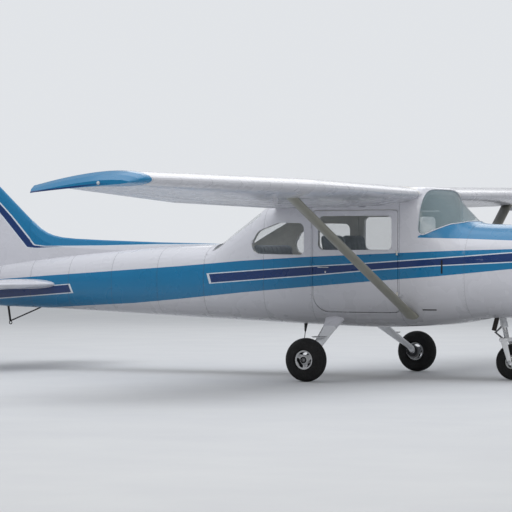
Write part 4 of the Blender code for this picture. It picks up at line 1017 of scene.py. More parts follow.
def steady_curve(places: np.ndarray, values: np.ndarray, wanted: np.ndarray) -> np.ndarray:
    """Values between table rows on a smooth curve that never overshoots them.

    Args:
        places: the rows' places, rising.
        values: the rows' values.
        wanted: the places asked for.

    Returns:
        A value for each place asked for.
    """
    gap = np.diff(places)
    slope = np.diff(values) / gap
    tangent = np.zeros_like(values)
    tangent[0], tangent[-1] = slope[0], slope[-1]
    for i in range(1, len(values) - 1):
        if slope[i - 1] * slope[i] > 0:
            first, second = 2 * gap[i] + gap[i - 1], gap[i] + 2 * gap[i - 1]
            tangent[i] = (first + second) / (first / slope[i - 1] + second / slope[i])
    index = np.clip(np.searchsorted(places, wanted) - 1, 0, len(gap) - 1)
    t = np.clip((wanted - places[index]) / gap[index], 0, 1)
    h = gap[index]
    a, b = values[index], values[index + 1]
    return ((2 * t ** 3 - 3 * t ** 2 + 1) * a + (t ** 3 - 2 * t ** 2 + t) * h * tangent[index]
            + (3 * t ** 2 - 2 * t ** 3) * b + (t ** 3 - t ** 2) * h * tangent[index + 1])


def smooth_rows(rows: Sequence[Row], places: np.ndarray) -> np.ndarray:
    """A table's rows at places along its first column, on smooth curves.

    Args:
        rows: the table's rows.
        places: places along the first column.

    Returns:
        The rows there.
    """
    table = np.array(rows)
    columns = [steady_curve(table[:, 0], table[:, c], places) for c in range(1, table.shape[1])]
    return np.stack([places, *columns], 1)


def evenly(rows: Sequence[Row], count: int) -> list[list[float]]:
    """A table's rows divided evenly along its first column."""
    return smooth_rows(rows, np.linspace(rows[0][0], rows[-1][0], count)).tolist()


def search_tree(rings: Sequence[Sequence[Vector]], closed: bool) -> BVHTree:
    """A search tree of the skin through some rings.

    Args:
        rings: outlines of equally many points.
        closed: whether each outline runs back to its start.

    Returns:
        The tree.
    """
    count = len(rings[0])
    faces = []
    for near in range(0, count * (len(rings) - 1), count):
        far = near + count
        for i in range(count if closed else count - 1):
            j = (i + 1) % count
            faces += [(near + i, near + j, far + j), (near + i, far + j, far + i)]
    return BVHTree.FromPolygons([p for ring in rings for p in ring], faces)


class HullForm:
    """The fuselage's outer form: as coarse as its solids, and as smooth as the real sheet."""

    STEP = 0.025

    def __init__(self) -> None:
        """Builds both forms as search trees."""
        fine = smooth_rows(HULL_SECTIONS, np.arange(HULL_SECTIONS[0][0], HULL_SECTIONS[-1][0] + 1e-6, self.STEP))
        self.coarse = search_tree([self.ring(row, CAD_RING_POINTS, 0.5) for row in HULL_SECTIONS], True)
        self.smooth = search_tree([self.ring(row, FINE_RING_POINTS, 0.0) for row in fine], True)

    @staticmethod
    def ring(row: Row, count: int, shift: float) -> list[Vector]:
        """The outline at one row.

        Args:
            row: one section's row.
            count: how many points.
            shift: how far the first point is turned, in points.

        Returns:
            The points.
        """
        station, low, wide, high, half, below, above = row
        points = []
        for i in range(count):
            angle = 2 * math.pi * (i + shift) / count
            across, up = math.cos(angle), math.sin(angle)
            power = 2 / (above if up >= 0 else below)
            reach = high - wide if up >= 0 else wide - low
            points.append(at(station, half * math.copysign(abs(across) ** power, across),
                             wide + reach * math.copysign(abs(up) ** power, up)))
        return points

    def side_point(self, station: float, z: float, side: int) -> tuple[Vector, Vector]:
        """Where a side view's (station, z) lies on the smooth skin, and the skin's outward normal there."""
        place, normal, _, _ = self.smooth.ray_cast(at(station, side * 2.0, z), Vector((0, -side, 0)))
        return place, -normal if normal.y * side < 0 else normal


def sleek_half(f: float, ratio: float) -> float:
    """Half the thickness of a four-digit section at a fraction of its chord, as a share of its chord."""
    return 5 * ratio * (0.2969 * math.sqrt(f) - 0.126 * f - 0.3516 * f * f + 0.2843 * f ** 3 - 0.1036 * f ** 4)


def sleek_camber(fraction: float, camber: float) -> float:
    """The mean line's height, as a share of the chord, with its peak at 0.4.

    Args:
        fraction: the share of the chord, from the leading edge.
        camber: the mean line's peak.

    Returns:
        The height.
    """
    if fraction < 0.4:
        return camber / 0.16 * (0.8 * fraction - fraction ** 2)
    return camber / 0.36 * (0.2 + 0.8 * fraction - fraction ** 2)


@dataclass
class SurfaceForm:
    """A flying surface's form, coarse as its solids or smooth."""

    kind: str
    rows: Sequence[Row]
    camber: float = 0.0
    side: int = 1
    edge: float = 0.002

    def row(self, along: float) -> list[float]:
        """The row at a place along the span.

        Args:
            along: the place along the span.

        Returns:
            The row's values there.
        """
        for near, far in zip(self.rows, self.rows[1:]):
            if near[0] <= along <= far[0]:
                share = (along - near[0]) / (far[0] - near[0])
                return [a + (b - a) * share for a, b in zip(near, far)]
        return list(self.rows[0] if along < self.rows[0][0] else self.rows[-1])

    def point(self, along: float, aft: float, above: float) -> Vector:
        """The point at a distance aft of the leading edge and above the chord line.

        Args:
            along: the place along the span.
            aft: metres behind the leading edge.
            above: metres above the chord line.

        Returns:
            The point.
        """
        _, leading, chord, _, height, incidence = self.row(along)
        if self.kind == "fin":
            return at(leading + aft, above, along)
        turn = math.radians(incidence)
        station = leading + aft * math.cos(turn) + above * math.sin(turn)
        z = height + 0.25 * chord * math.sin(turn) - aft * math.sin(turn) + above * math.cos(turn)
        if self.kind == "tailplane":
            return at(station, self.side * along, z)
        rise = math.radians(DIHEDRAL_DEGREES)
        out, up = along - WING_ROOT_Y, z - WING_QUARTER_Z
        return at(station, self.side * (WING_ROOT_Y + out * math.cos(rise) - up * math.sin(rise)),
                  WING_QUARTER_Z + out * math.sin(rise) + up * math.cos(rise))

    def skin_point(self, along: float, fraction: float, upper: bool) -> Vector:
        """A point of the skin at a fraction of the chord.

        Args:
            along: the place along the span.
            fraction: the share of the chord, from the leading edge.
            upper: whether it is on the upper side.

        Returns:
            The point.
        """
        chord, ratio = self.row(along)[2:4]
        half = sleek_half(fraction, ratio) * chord
        if fraction > 0.5:
            half = max(self.edge, half)
        middle = sleek_camber(fraction, self.camber) * chord
        return self.point(along, fraction * chord, middle + (half if upper else -half))

    def skin_axes(self, along: float, fraction: float, upper: bool, step: float = 0.004) -> tuple[Vector, ...]:
        """A point of the skin, the way along the span there, and the outward normal.

        Args:
            along: the place along the span.
            fraction: the share of the chord, from the leading edge.
            upper: whether it is on the upper side.
            step: how far off the neighbouring points are.

        Returns:
            The point, the way along the span and the normal.
        """
        here = self.skin_point(along, fraction, upper)
        ahead = self.skin_point(along, fraction + step, upper)
        beside = self.skin_point(along + step, fraction, upper)
        normal = (ahead - here).cross(beside - here).normalized()
        if normal.dot(self.skin_point(along, fraction, not upper) - here) > 0:
            normal = -normal
        return here, (beside - here).normalized(), normal

    FINE_FRACTIONS = tuple((1 - i / 48) ** 2 for i in range(48))

    def tree(self, fractions: Row) -> BVHTree:
        """A search tree of the form, each section over the top to the leading edge and back below.

        Args:
            fractions: shares of the chord, from the trailing edge to the leading edge.

        Returns:
            The tree.
        """
        rings = []
        for along, *_ in self.rows:
            upper, lower = ([self.skin_point(along, f, up) for f in fractions] for up in (True, False))
            rings.append([*upper, self.point(along, 0.0, 0.0), *lower[::-1]])
        return search_tree(rings, False)

    def trees(self) -> tuple[BVHTree, BVHTree]:
        """The coarse and the smooth form."""
        return self.tree(CAD_FRACTIONS), self.tree(self.FINE_FRACTIONS)


@dataclass
class Refiner:
    """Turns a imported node's loose triangles into one evenly divided, truly rounded skin."""

    coarse: BVHTree
    smooth_form: BVHTree
    # how deep below the skin a point still moves with it
    reach: float

    # how far the planes stand off round measures, the gap that closes over a sliver, and the reach from which
    # a point moves less the deeper it lies
    PLANE_SHIFT = 0.0003
    SLIVER = 0.0004
    FADING_REACH = 0.02

    def grid_cut(self, shape: bmesh.types.BMesh, steps: Row) -> None:
        """Divides faces by planes across X, Y and Z, a step apart.

        Args:
            shape: the editable mesh.
            steps: how far apart the planes are along X, Y and Z.
        """
        corners = np.array([v.co for v in shape.verts])
        low, high = corners.min(0), corners.max(0)
        for axis, step in enumerate(steps):
            normal = Vector([1.0 if i == axis else 0.0 for i in range(3)])
            place = math.ceil(low[axis] / step) * step
            while place < high[axis]:
                bmesh.ops.bisect_plane(shape, geom=[*shape.faces, *shape.edges, *shape.verts],
                                       plane_co=normal * (place + self.PLANE_SHIFT), plane_no=normal, dist=0.00001)
                place += step

    def refined(self, node: str, steps: Row, degrees: float = 30.0) -> Thing:
        """A merged, divided and rounded copy of a CAD node.

        Args:
            node: the CAD node.
            steps: how far apart the dividing planes are along X, Y and Z.
            degrees: edges sharper than this stay sharp.

        Returns:
            The piece.
        """
        shape = bmesh.new()
        shape.from_mesh(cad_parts[node].data)
        bmesh.ops.remove_doubles(shape, verts=shape.verts, dist=MERGE)
        bmesh.ops.dissolve_degenerate(shape, edges=shape.edges, dist=MERGE)
        self.grid_cut(shape, steps)
        for vertex in shape.verts:
            near, _, _, depth = self.coarse.find_nearest(vertex.co)
            if depth > self.reach:
                continue
            target, _, _, _ = self.smooth_form.find_nearest(near)
            share = 1 - depth / self.reach if self.reach > self.FADING_REACH else 1.0
            vertex.co += (target - near) * share
        bmesh.ops.remove_doubles(shape, verts=shape.verts, dist=self.SLIVER)
        bmesh.ops.triangulate(shape, faces=[f for f in shape.faces if len(f.verts) > 4])
        # the large faces set the shading, not the slivers between the dividing planes
        return apply_modifier(smooth(from_shape(shape), degrees), "WEIGHTED_NORMAL", keep_sharp=True)


HULL = HullForm()


def skin_plate(stations: Row, heights: Row, side: int, out: float, into: float = 0.001, count: int = 8) -> Thing:
    """A thin plate that follows the fuselage's side between two stations and two heights.

    Args:
        stations: its front and rear edge.
        heights: its lower and upper edge.
        side: 1 to port, -1 to starboard.
        out: how far it stands out of the skin.
        into: how far it is sunk in.
        count: points along each edge.

    Returns:
        The piece.
    """
    rings = []
    for station in np.linspace(*stations, count):
        spots = [HULL.side_point(station, z, side) for z in np.linspace(*heights, count)]
        rings.append([p + n * out for p, n in spots] + [p - n * into for p, n in spots[::-1]])
    return outward(lofted(rings))


def oval_rings(places: Sequence[tuple[Vector, float, float]], up: Vector, count: int,
               point: float) -> list[list[Vector]]:
    """Streamlined rings: (centre, chord, thickness), chord along X, the nose rounder than the tail.

    Args:
        places: (centre, chord, thickness) of each ring.
        up: the way in which its thickness lies.
        count: how many points.
        point: how much fuller the front is than the rear.

    Returns:
        The rings.
    """
    turns = [2 * math.pi * i / count for i in range(count)]
    return [[centre + Vector((0.5 * chord * math.cos(a), 0, 0)) + up * 0.5 * thick * math.sin(a)
             * (1.0 + point * math.cos(a)) for a in turns] for centre, chord, thick in places]


def round_corners(corners: Sequence[Row], radius: float, steps: int) -> list[Row]:
    """A closed flat outline with all its corners rounded.

    Args:
        corners: the corners, in order.
        radius: the radius of each corner.
        steps: how many parts each corner has.

    Returns:
        The outline's points.
    """
    points = []
    for i, corner in enumerate(corners):
        here = Vector(corner)
        before = (Vector(corners[i - 1]) - here).normalized()
        after = (Vector(corners[(i + 1) % len(corners)]) - here).normalized()
        half = before.angle(after) / 2
        centre = here + (before + after).normalized() * radius / math.sin(half)
        start = here + before * radius / math.tan(half) - centre
        end = here + after * radius / math.tan(half) - centre
        sweep = start.angle_signed(end)
        points += [tuple(centre + Matrix.Rotation(-sweep * k / steps, 2) @ start) for k in range(steps + 1)]
    return points


@dataclass
class Studio:
    """The camera at the photograph's place, a pale floor and soft light."""

    distance: float = 28.0
    yaw_degrees: float = 28.56
    focal_px: float = 2746.0
    frame_px: float = 512.0
    sideways: float = 1.100
    horizon_px: float = 245.3
    eye_height: float = 1.336
    main_wheels_x: float = 1.402
    sensor_mm: float = 36.0
    sky_low: float = 0.30
    sky_high: float = 0.95
    sky_seen: float = 0.86
    # name, place, size, power, warmth
    lamps: tuple = (("sky", (0.0, -2.0, 15.0), 16.0, 1000.0, "#F6F9FF"),
                    ("key", (7.0, -15.0, 9.0), 8.0, 300.0, "#FFFAF2"),
                    ("rim", (-5.0, 14.0, 10.0), 9.0, 300.0, "#FFFFFF"))

    @staticmethod
    def aimed(name: str, data: bpy.types.ID, place: Row, look: Vector) -> Thing:
        """A camera or lamp at a place, turned to look along a direction.

        Args:
            name: its name.
            data: the camera or lamp.
            place: the place.
            look: the direction.

        Returns:
            The camera or lamp, in the scene.
        """
        holder = link(bpy.data.objects.new(name, data))
        holder.location = place
        holder.rotation_mode = "QUATERNION"
        holder.rotation_quaternion = look.to_track_quat("-Z", "Y")
        return holder

    def camera(self) -> None:
        """A long lens, ahead of the starboard wing, at eye height."""
        yaw = math.radians(self.yaw_degrees)
        right = Vector((math.cos(yaw), math.sin(yaw), 0))
        ahead = Vector((-math.sin(yaw), math.cos(yaw), 0))
        drop = math.atan((self.frame_px / 2 - self.horizon_px) / self.focal_px)
        place = Vector((self.main_wheels_x, 0, self.eye_height)) - self.distance * ahead - self.sideways * right
        lens = bpy.data.cameras.new("photo_camera")
        lens.lens = self.focal_px / self.frame_px * self.sensor_mm
        lens.sensor_width = self.sensor_mm
        lens.clip_end = 400
        look = ahead * math.cos(drop) - Vector((0, 0, math.sin(drop)))
        bpy.context.scene.camera = self.aimed("photo_camera", lens, place, look)

    def light(self) -> None:
        """A pale overcast dome, brightest overhead but plain to the camera, with large soft lamps."""
        world = bpy.data.worlds.new("overcast")
        world.use_nodes = True
        tree = world.node_tree
        background = tree.nodes["Background"]
        background.inputs["Color"].default_value = linear("#F1F4F8")
        place = add_node(tree, "TexCoord").outputs["Generated"]
        height = add_node(tree, "SeparateXYZ", {"Vector": place}).outputs["Z"]
        glow = add_node(tree, "MapRange", {"Value": height, "To Min": self.sky_low, "To Max": self.sky_high})
        seen = add_node(tree, "LightPath").outputs["Is Camera Ray"]
        share = add_node(tree, "Mix", {"Factor": seen, "A": glow.outputs["Result"], "B": self.sky_seen})
        tree.links.new(share.outputs["Result"], background.inputs["Strength"])
        bpy.context.scene.world = world
        for name, place, size, power, warmth in self.lamps:
            lamp = bpy.data.lights.new(name, "AREA")
            lamp.size = size
            lamp.energy = power
            lamp.color = linear(warmth)[:3]
            self.aimed(name, lamp, place, Vector((0, 0, 1.0)) - Vector(place))

    def floor(self) -> None:
        """A plain pale floor out of sight of its edges."""
        pick()
        bpy.ops.mesh.primitive_plane_add(size=160.0, location=(0, 0, 0))
        ground = settle(bpy.context.active_object)
        ground.name = "studio_floor"
        mix = Mixer("pale_floor")
        tone = mix.ramp(mix.noise(900), 0.3, 0.7)
        mix.set(Base_Color=mix.blend(tone, "#CFD0D2", "#D4D5D6"), Roughness=0.75, IOR=1.4)
        ground.data.materials.append(mix.material)

    def build(self) -> None:
        """All of the studio, with true colours as a camera set for a grey day gives them."""
        view = bpy.context.scene.view_settings
        view.view_transform = "Standard"
        view.look = "None"
        self.camera()
        self.light()
        self.floor()


# The panes: node, body, and the radius and finish of the seal
PANES = (("windscreen", Body.AIRFRAME, 0.0052, "plain_enamel"),
         ("rear_window", Body.AIRFRAME, 0.0045, "plain_enamel"),
         ("rear_side_window_left", Body.AIRFRAME, 0.0045, "seal_rubber"),
         ("rear_side_window_right", Body.AIRFRAME, 0.0045, "seal_rubber"),
         ("door_window_left", Body.LEFT_DOOR, 0.0045, "seal_rubber"),
         ("door_window_right", Body.RIGHT_DOOR, 0.0045, "seal_rubber"))


@dataclass
class Airframe:
    """The fuselage's skins, doors and glazing."""

    step: float = 0.05
    skin_reach: float = 0.060
    pane_reach: float = 0.015
    trim_depth: float = 0.022
    carpet_top: float = 0.70

    def skins(self) -> None:
        """The painted shells, each a refined copy of its solid."""
        refiner = Refiner(HULL.coarse, HULL.smooth, self.skin_reach)
        # node, piece, body, finish, whether the cabin's trim is seen on it
        rows = (("cabin_shell", "cabin_skin", Body.AIRFRAME, "hull_enamel", True),
                ("tail_cone", "tail_cone_skin", Body.AIRFRAME, "hull_enamel", False),
                ("cowl_upper", "cowl_upper_skin", Body.AIRFRAME, "cowl_enamel", False),
                ("cowl_lower", "cowl_lower_skin", Body.AIRFRAME, "cowl_enamel", False),
                ("door_left", "door_skin_left", Body.LEFT_DOOR, "door_enamel", True),
                ("door_right", "door_skin_right", Body.RIGHT_DOOR, "door_enamel", True),
                ("baggage_door", "baggage_door_skin", Body.BAGGAGE, "door_enamel", True))
        for node, name, body, finish, lined in rows:
            piece = fit(name, refiner.refined(node, [self.step] * 3), body, finish, (node,))
            if lined:
                self.line(piece)

    def line(self, piece: Thing) -> None:
        """Gives the faces that lie deep under the skin the cabin's trim, and the floor its carpet.

        Args:
            piece: the skin of a shell or a door.
        """
        painted(piece, "trim_vinyl", "carpet")
        for face in piece.data.polygons:
            _, _, _, depth = HULL.smooth.find_nearest(face.center)
            if depth > self.trim_depth:
                face.material_index = 2 if face.center.z < self.carpet_top and face.normal.z > 0.7 else 1

    def glazing(self) -> None:
        """The panes, curved as the fuselage is."""
        refiner = Refiner(HULL.coarse, HULL.smooth, self.pane_reach)
        for node, body, _, _ in PANES:
            finish = "windscreen_sheet" if node == "windscreen" else "acrylic_sheet"
            fit(node + "_pane", refiner.refined(node, [self.step] * 3, 40), body, finish, (node,))

    def build(self) -> None:
        """All of the fuselage."""
        self.skins()
        self.glazing()


@dataclass
class FlyingSurfaces:
    """The wings, tips, controls and tail."""

    wing_steps: tuple = (0.02, 0.5, 0.012)
    tailplane_steps: tuple = (0.03, 0.5, 0.01)
    fin_steps: tuple = (0.04, 0.01, 0.10)

    @staticmethod
    def dress(form: SurfaceForm, steps: Row, *rows: tuple[str, Body, str]) -> None:
        """Refines each node that follows one form.

        Args:
            form: the flying surface.
            steps: how far apart the dividing planes are along X, Y and Z.
            rows: node, body and finish of each.
        """
        refiner = Refiner(*form.trees(), 0.012)
        for node, body, finish in rows:
            fit(node + "_skin", refiner.refined(node, steps, 28), body, finish, (node,))

    def build(self) -> None:
        """All of the flying surfaces."""
        for side in Side:
            word = side.word
            self.dress(SurfaceForm("wing", WING_ROWS, WING_CAMBER, side.value), self.wing_steps,
                       ("wing_" + word, Body.AIRFRAME, "wing_enamel"),
                       ("wing_tip_" + word, Body.AIRFRAME, "tip_enamel"),
                       ("aileron_" + word, side.body("aileron"), "wing_enamel"),
                       ("flap_" + word, side.body("flap"), "wing_enamel"))
            self.dress(SurfaceForm("tailplane", TAILPLANE_ROWS, 0.0, side.value), self.tailplane_steps,
                       ("stabiliser_" + word, Body.AIRFRAME, "plain_enamel"))
        self.dress(SurfaceForm("fin", FIN_ROWS), self.fin_steps, ("fin", Body.AIRFRAME, "fin_enamel"),
                   ("rudder", Body.RUDDER, "fin_enamel"))
        self.dress(SurfaceForm("tailplane", TAILPLANE_ROWS), self.tailplane_steps,
                   ("elevator", Body.ELEVATOR, "plain_enamel"))


class CarriedOver:
    """CAD nodes whose shape is right as it is, given their finishes."""

    FINISHES = {"engine_block": "cast_metal", "instrument_panel": "panel_black", "seat_frame_": "dull_steel"}

    def build(self) -> None:
        """Replaces the plain material of each such node."""
        for name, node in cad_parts.items():
            for start, finish in self.FINISHES.items():
                if name.startswith(start):
                    node.data.materials.clear()
                    painted(node, finish)


@dataclass(frozen=True)
class WheelSize:
    """The driving sizes of one wheel."""

    tyre_radius: float
    tyre_width: float
    rim_radius: float
    bore: float
    spokes: int = 3


@dataclass
class Wheel:
    """A ribbed tyre on a cast rim, with its bolts, cap and valve."""

    word: str
    centre: Vector
    body: Body
    size: WheelSize
    outer: tuple[int, ...]

    # Half of the rim's outline, from its outer flange in to the hub: (shares of rim radius and of half the width)
    WEB = ((0.88, 0.62), (0.83, 0.40), (0.76, 0.27), (0.56, 0.27), (0.46, 0.42), (0.42, 0.70))

    # grooves and wall ring: places and widths as shares of half the width, depth and height in metres
    GROOVES = (0.12, 0.42)
    GROOVE_WIDTH = 0.035
    GROOVE_DEPTH = 0.0045
    RING_PLACE = 0.90
    RING_WIDTH = 0.025
    RING_HEIGHT = 0.0012
    # steps along the tread's outline, and faces round the tyre and the rim
    STEPS = 72
    TYRE_FACES = 112
    RIM_FACES = 96
    # the circle of the bolts and windows, as a share of the rim's radius
    BOLT_CIRCLE = 0.66

    def tyre(self) -> Thing:
        """The tyre: four grooves round the tread, a bead and a raised ring on each wall.

        Returns:
            The piece.
        """
        rim, half = self.size.rim_radius, self.size.tyre_width / 2
        depth = self.size.tyre_radius - rim
        points = []
        for i in range(self.STEPS + 1):
            angle = math.pi * (0.5 - i / self.STEPS)
            along = half * math.copysign(abs(math.sin(angle)) ** 0.8, angle)
            reach = rim + depth * (0.12 + 0.88 * abs(math.cos(angle)) ** 0.75) - 0.0006
            share = abs(along) / half
            groove = any(abs(share - place) < self.GROOVE_WIDTH for place in self.GROOVES)
            wall = self.RING_HEIGHT * math.exp(-((share - self.RING_PLACE) / self.RING_WIDTH) ** 2)
            points.append((reach - (self.GROOVE_DEPTH if groove else 0.0), along + math.copysign(wall, along)))
        points += [(rim + 0.0015, -half * 0.64), (rim - 0.001, -half * 0.60), (rim - 0.001, half * 0.60),
                   (rim + 0.0015, half * 0.64)]
        return spun(points, self.centre, "Y", self.TYRE_FACES, True)

    def rim(self) -> Thing:
        """The rim: flanges, a dished web with rounded windows, and a raised hub.

        Returns:
            The piece.
        """
        rim, half, bore = self.size.rim_radius, self.size.tyre_width / 2, self.size.bore
        edge = rim + 0.0035
        port = [(edge, half * 0.66), (edge, half * 0.62), (rim - 0.002, half * 0.59)]
        face = [(rim - 0.004, half * 0.69), *[(rim * r, half * w) for r, w in self.WEB],
                (bore + 0.002, half * 0.72), (bore, half * 0.70)]
        piece = spun([*port, (rim - 0.004, 0.0), *[(r, -w) for r, w in port[::-1] + face], *face[::-1]], self.centre,
                     "Y", self.RIM_FACES, True)
        upright = Matrix.Rotation(QUARTER_TURN, 4, "Y")
        for number in range(self.size.spokes):
            turn = Matrix.Rotation(2 * math.pi * (number + 0.25) / self.size.spokes, 4, "Y")
            pick()
            bpy.ops.mesh.primitive_cylinder_add(vertices=32, radius=1.0, depth=half * 1.1,
                                                rotation=(QUARTER_TURN, 0, 0))
            cutter = bpy.context.active_object
            cutter.scale = (rim * 0.165, rim * 1.9 / self.size.spokes, 1.0)
            settle(cutter)
            # the window's long side runs round the hub
            window = self.centre + turn @ Vector((rim * self.BOLT_CIRCLE, 0, 0))
            cut_by(piece, moved(cutter, Matrix.Translation(window) @ turn @ upright @ upright))
        apply_modifier(piece, "BEVEL", width=0.0012, segments=2, limit_method="ANGLE", angle_limit=math.radians(48))
        # painted shade: the barrel seen through the windows takes the dark hub finish
        painted(piece, "rim_enamel", "hub_iron")
        for face in piece.data.polygons:
            away = face.center - self.centre
            face.material_index = int(abs(away.y) < half * 0.25
                                      and rim * 0.5 < math.hypot(away.x, away.z) < rim * 0.99)
        return smooth(piece, 40)

    def fittings(self) -> tuple[list[Thing], list[Thing]]:
        """Bolts and the valve in bright steel, and the dark caps over the bearings.

        Returns:
            The bright pieces, and the dark ones.
        """
        rim, half, bore = self.size.rim_radius, self.size.tyre_width / 2, self.size.bore
        bright, dark = [], []
        for side in self.outer:
            out = Vector((0, side, 0))
            for number in range(self.size.spokes):
                turn = Matrix.Rotation(2 * math.pi * (number + 0.75) / self.size.spokes, 4, "Y")
                reach = turn @ Vector((rim * self.BOLT_CIRCLE, 0, 0))
                place = self.centre + reach + Vector((0, side * half * 0.27, 0))
                bright.append(bar(place, place + out * 0.007, rim * 0.075, 6, 0.0006))
                bright.append(bar(place, place + out * 0.011, rim * 0.042, 12, 0.0008))
            cap = ((bore + 0.0006, 0.0), (rim * 0.36, 0.0), (rim * 0.36, side * 0.010), (rim * 0.31, side * 0.0125),
                   (bore + 0.0006, side * 0.0125))
            dark.append(spun(cap, self.centre + Vector((0, side * half * 0.66, 0)), "Y", 48, True))
        side = self.outer[0]
        turn = Matrix.Rotation(0.9, 4, "Y")
        root, tip = (self.centre + turn @ Vector((rim * reach, side * half * share, 0))
                     for reach, share in ((0.86, 0.40), (0.72, 0.62)))
        bright.append(bar(root, tip, 0.0042, 14, 0.0006, 0.0036))
        return bright, dark

    def build(self) -> None:
        """All of the wheel, in place of its two CAD nodes."""
        fit("tyre_tread_" + self.word, self.tyre(), self.body, "tyre_rubber", ("tyre_" + self.word,))
        fit("rim_" + self.word, self.rim(), self.body, "", ("hub_" + self.word,), "wheel_casting")
        bright, dark = self.fittings()
        fit("wheel_bolts_" + self.word, bright, self.body, "bright_steel")
        fit("bearing_caps_" + self.word, dark, self.body, "hub_iron")


@dataclass
class MainGear:
    """The main legs with their cuffs, steps, brakes and wheels."""

    wheel_station: float = 1.478
    wheel_y: float = 1.275
    size: WheelSize = WheelSize(0.215, 0.156, 0.092, 0.0195)
    nose_roundness: float = 0.12
    # lateral place, station, z, chord, thickness
    leg_rows: tuple = ((0.340, 1.600, 0.640, 0.170, 0.060), (0.560, 1.572, 0.525, 0.150, 0.052),
                       (0.850, 1.532, 0.388, 0.115, 0.044), (1.135, 1.492, 0.262, 0.085, 0.040))

    def leg(self, s: int, up: Vector) -> Thing:
        """The tapered tube in its fairing, running out and down to the axle.

        Args:
            s: 1 to port, -1 to starboard.
            up: the way in which its thickness lies.

        Returns:
            The piece.
        """
        places = [(at(station, s * y, z), chord, thick) for y, station, z, chord, thick in evenly(self.leg_rows, 24)]
        tail, chord, thick = places[-1]
        wheel = at(self.wheel_station, s * 1.158, self.size.tyre_radius + 0.008)
        for share in (0.35, 0.7, 1.0):
            places.append((tail.lerp(wheel, share), chord + (0.062 - chord) * share, thick + (0.058 - thick) * share))
        return lofted(oval_rings(places, up, 48, self.nose_roundness))

    def cuff(self, s: int, up: Vector) -> Thing:
        """The moulded fairing that flares from the leg into the belly.

        Args:
            s: 1 to port, -1 to starboard.
            up: the way in which its thickness lies.

        Returns:
            The piece.
        """
        places = []
        for y, station, z, chord, thick in evenly(self.leg_rows, 60):
            if 0.345 < y < 0.60:
                grow = 0.006 + 0.052 * ((0.60 - y) / 0.255) ** 2.2
                places.append((at(station, s * y, z + 0.25 * grow), chord + 2.1 * grow, thick + 1.2 * grow))
        return smooth(lofted(oval_rings(places, up, 56, self.nose_roundness)), 40)

    def brake(self, s: int) -> tuple[list[Thing], list[Thing]]:
        """The axle, its flange and the disc, and the caliper with its bolts.

        Args:
            s: 1 to port, -1 to starboard.

        Returns:
            The steel pieces, and the cast ones.
        """
        def hub(x: float, y: float, z: float) -> Vector:
            """A point by its distance from the wheel's axis, and from the middle of the aircraft."""
            return at(self.wheel_station, s * y, self.size.tyre_radius) + Vector((x, 0, z))

        def shaft(start: float, end: float, *shape: float) -> Thing:
            """A bar on the axle's line."""
            return bar(hub(0, start, 0), hub(0, end, 0), *shape)

        disc = spun([(0.070, -0.00275), (0.070, 0.00275), (0.040, 0.00275), (0.040, -0.00275)], hub(0, 1.1657, 0),
                    "Y", 80, True)
        bolts = [bar(hub(-0.058, 1.139, z), hub(-0.058, 1.149, z), 0.006, 6, 0.0006) for z in (-0.018, 0.018)]
        return ([shaft(1.14, 1.318, 0.0188, 40, 0.0015), shaft(1.3185, 1.3285, 0.0178, 6, 0.0012), disc, *bolts],
                [shaft(1.1505, 1.1565, 0.056, 48, 0.0015),
                 block(hub(-0.074, 1.148, -0.030), hub(-0.042, 1.186, 0.030), 0.006, 4)])

    def step(self, s: int) -> list[Thing]:
        """The footstep's plate and its turned edges.

        Args:
            s: 1 to port, -1 to starboard.

        Returns:
            The pieces.
        """
        plate = block(at(1.605, s * 0.80, 0.4215), at(1.497, s * 0.90, 0.4285), 0.0025)
        return [plate, *[block(at(1.605, s * y, 0.4185), at(1.497, s * (y + 0.004), 0.4285), 0.0012)
                         for y in (0.80, 0.896)]]

    def brake_line(self, s: int) -> Thing:
        """The brake line clipped along the back of the leg, down to the caliper.

        Args:
            s: 1 to port, -1 to starboard.

        Returns:
            The piece.
        """
        points = [at(station, s * y, z + 0.004) - Vector((0.5 * chord + 0.002, 0, 0))
                  for y, station, z, chord, _ in evenly(self.leg_rows, 9)[2:]]
        return tube([*points, at(1.556, s * 1.140, 0.236), at(1.548, s * 1.152, 0.238)], 0.0032)

    def build(self) -> None:
        """Both sides."""
        for side in Side:
            word, s = side.word, side.value
            up = Vector((0, s * 0.378, 0.795)).normalized()
            fit("gear_leg_skin_" + word, self.leg(s, up), Body.AIRFRAME, "gear_enamel", ("gear_leg_" + word,))
            fit("gear_cuff_" + word, self.cuff(s, up), Body.AIRFRAME, "plain_enamel")
            bright, cast = self.brake(s)
            fit("axle_and_disc_" + word, bright, Body.AIRFRAME, "disc_steel")
            fit("brake_caliper_" + word, cast, Body.AIRFRAME, "cast_metal")
            fit("footstep_" + word, self.step(s), Body.AIRFRAME, "gear_enamel")
            pad = block(at(1.620, s * 0.806, 0.4284), at(1.492, s * 0.894, 0.4305), 0.0008)
            fit("step_pad_" + word, pad, Body.AIRFRAME, "seal_rubber", slot="black_plastic")
            fit("brake_line_" + word, self.brake_line(s), Body.AIRFRAME, "seal_rubber", slot="black_plastic")
            centre = at(self.wheel_station, s * self.wheel_y, self.size.tyre_radius)
            Wheel("main_" + word, centre, side.body("main_wheel"), self.size, (s, -s)).build()


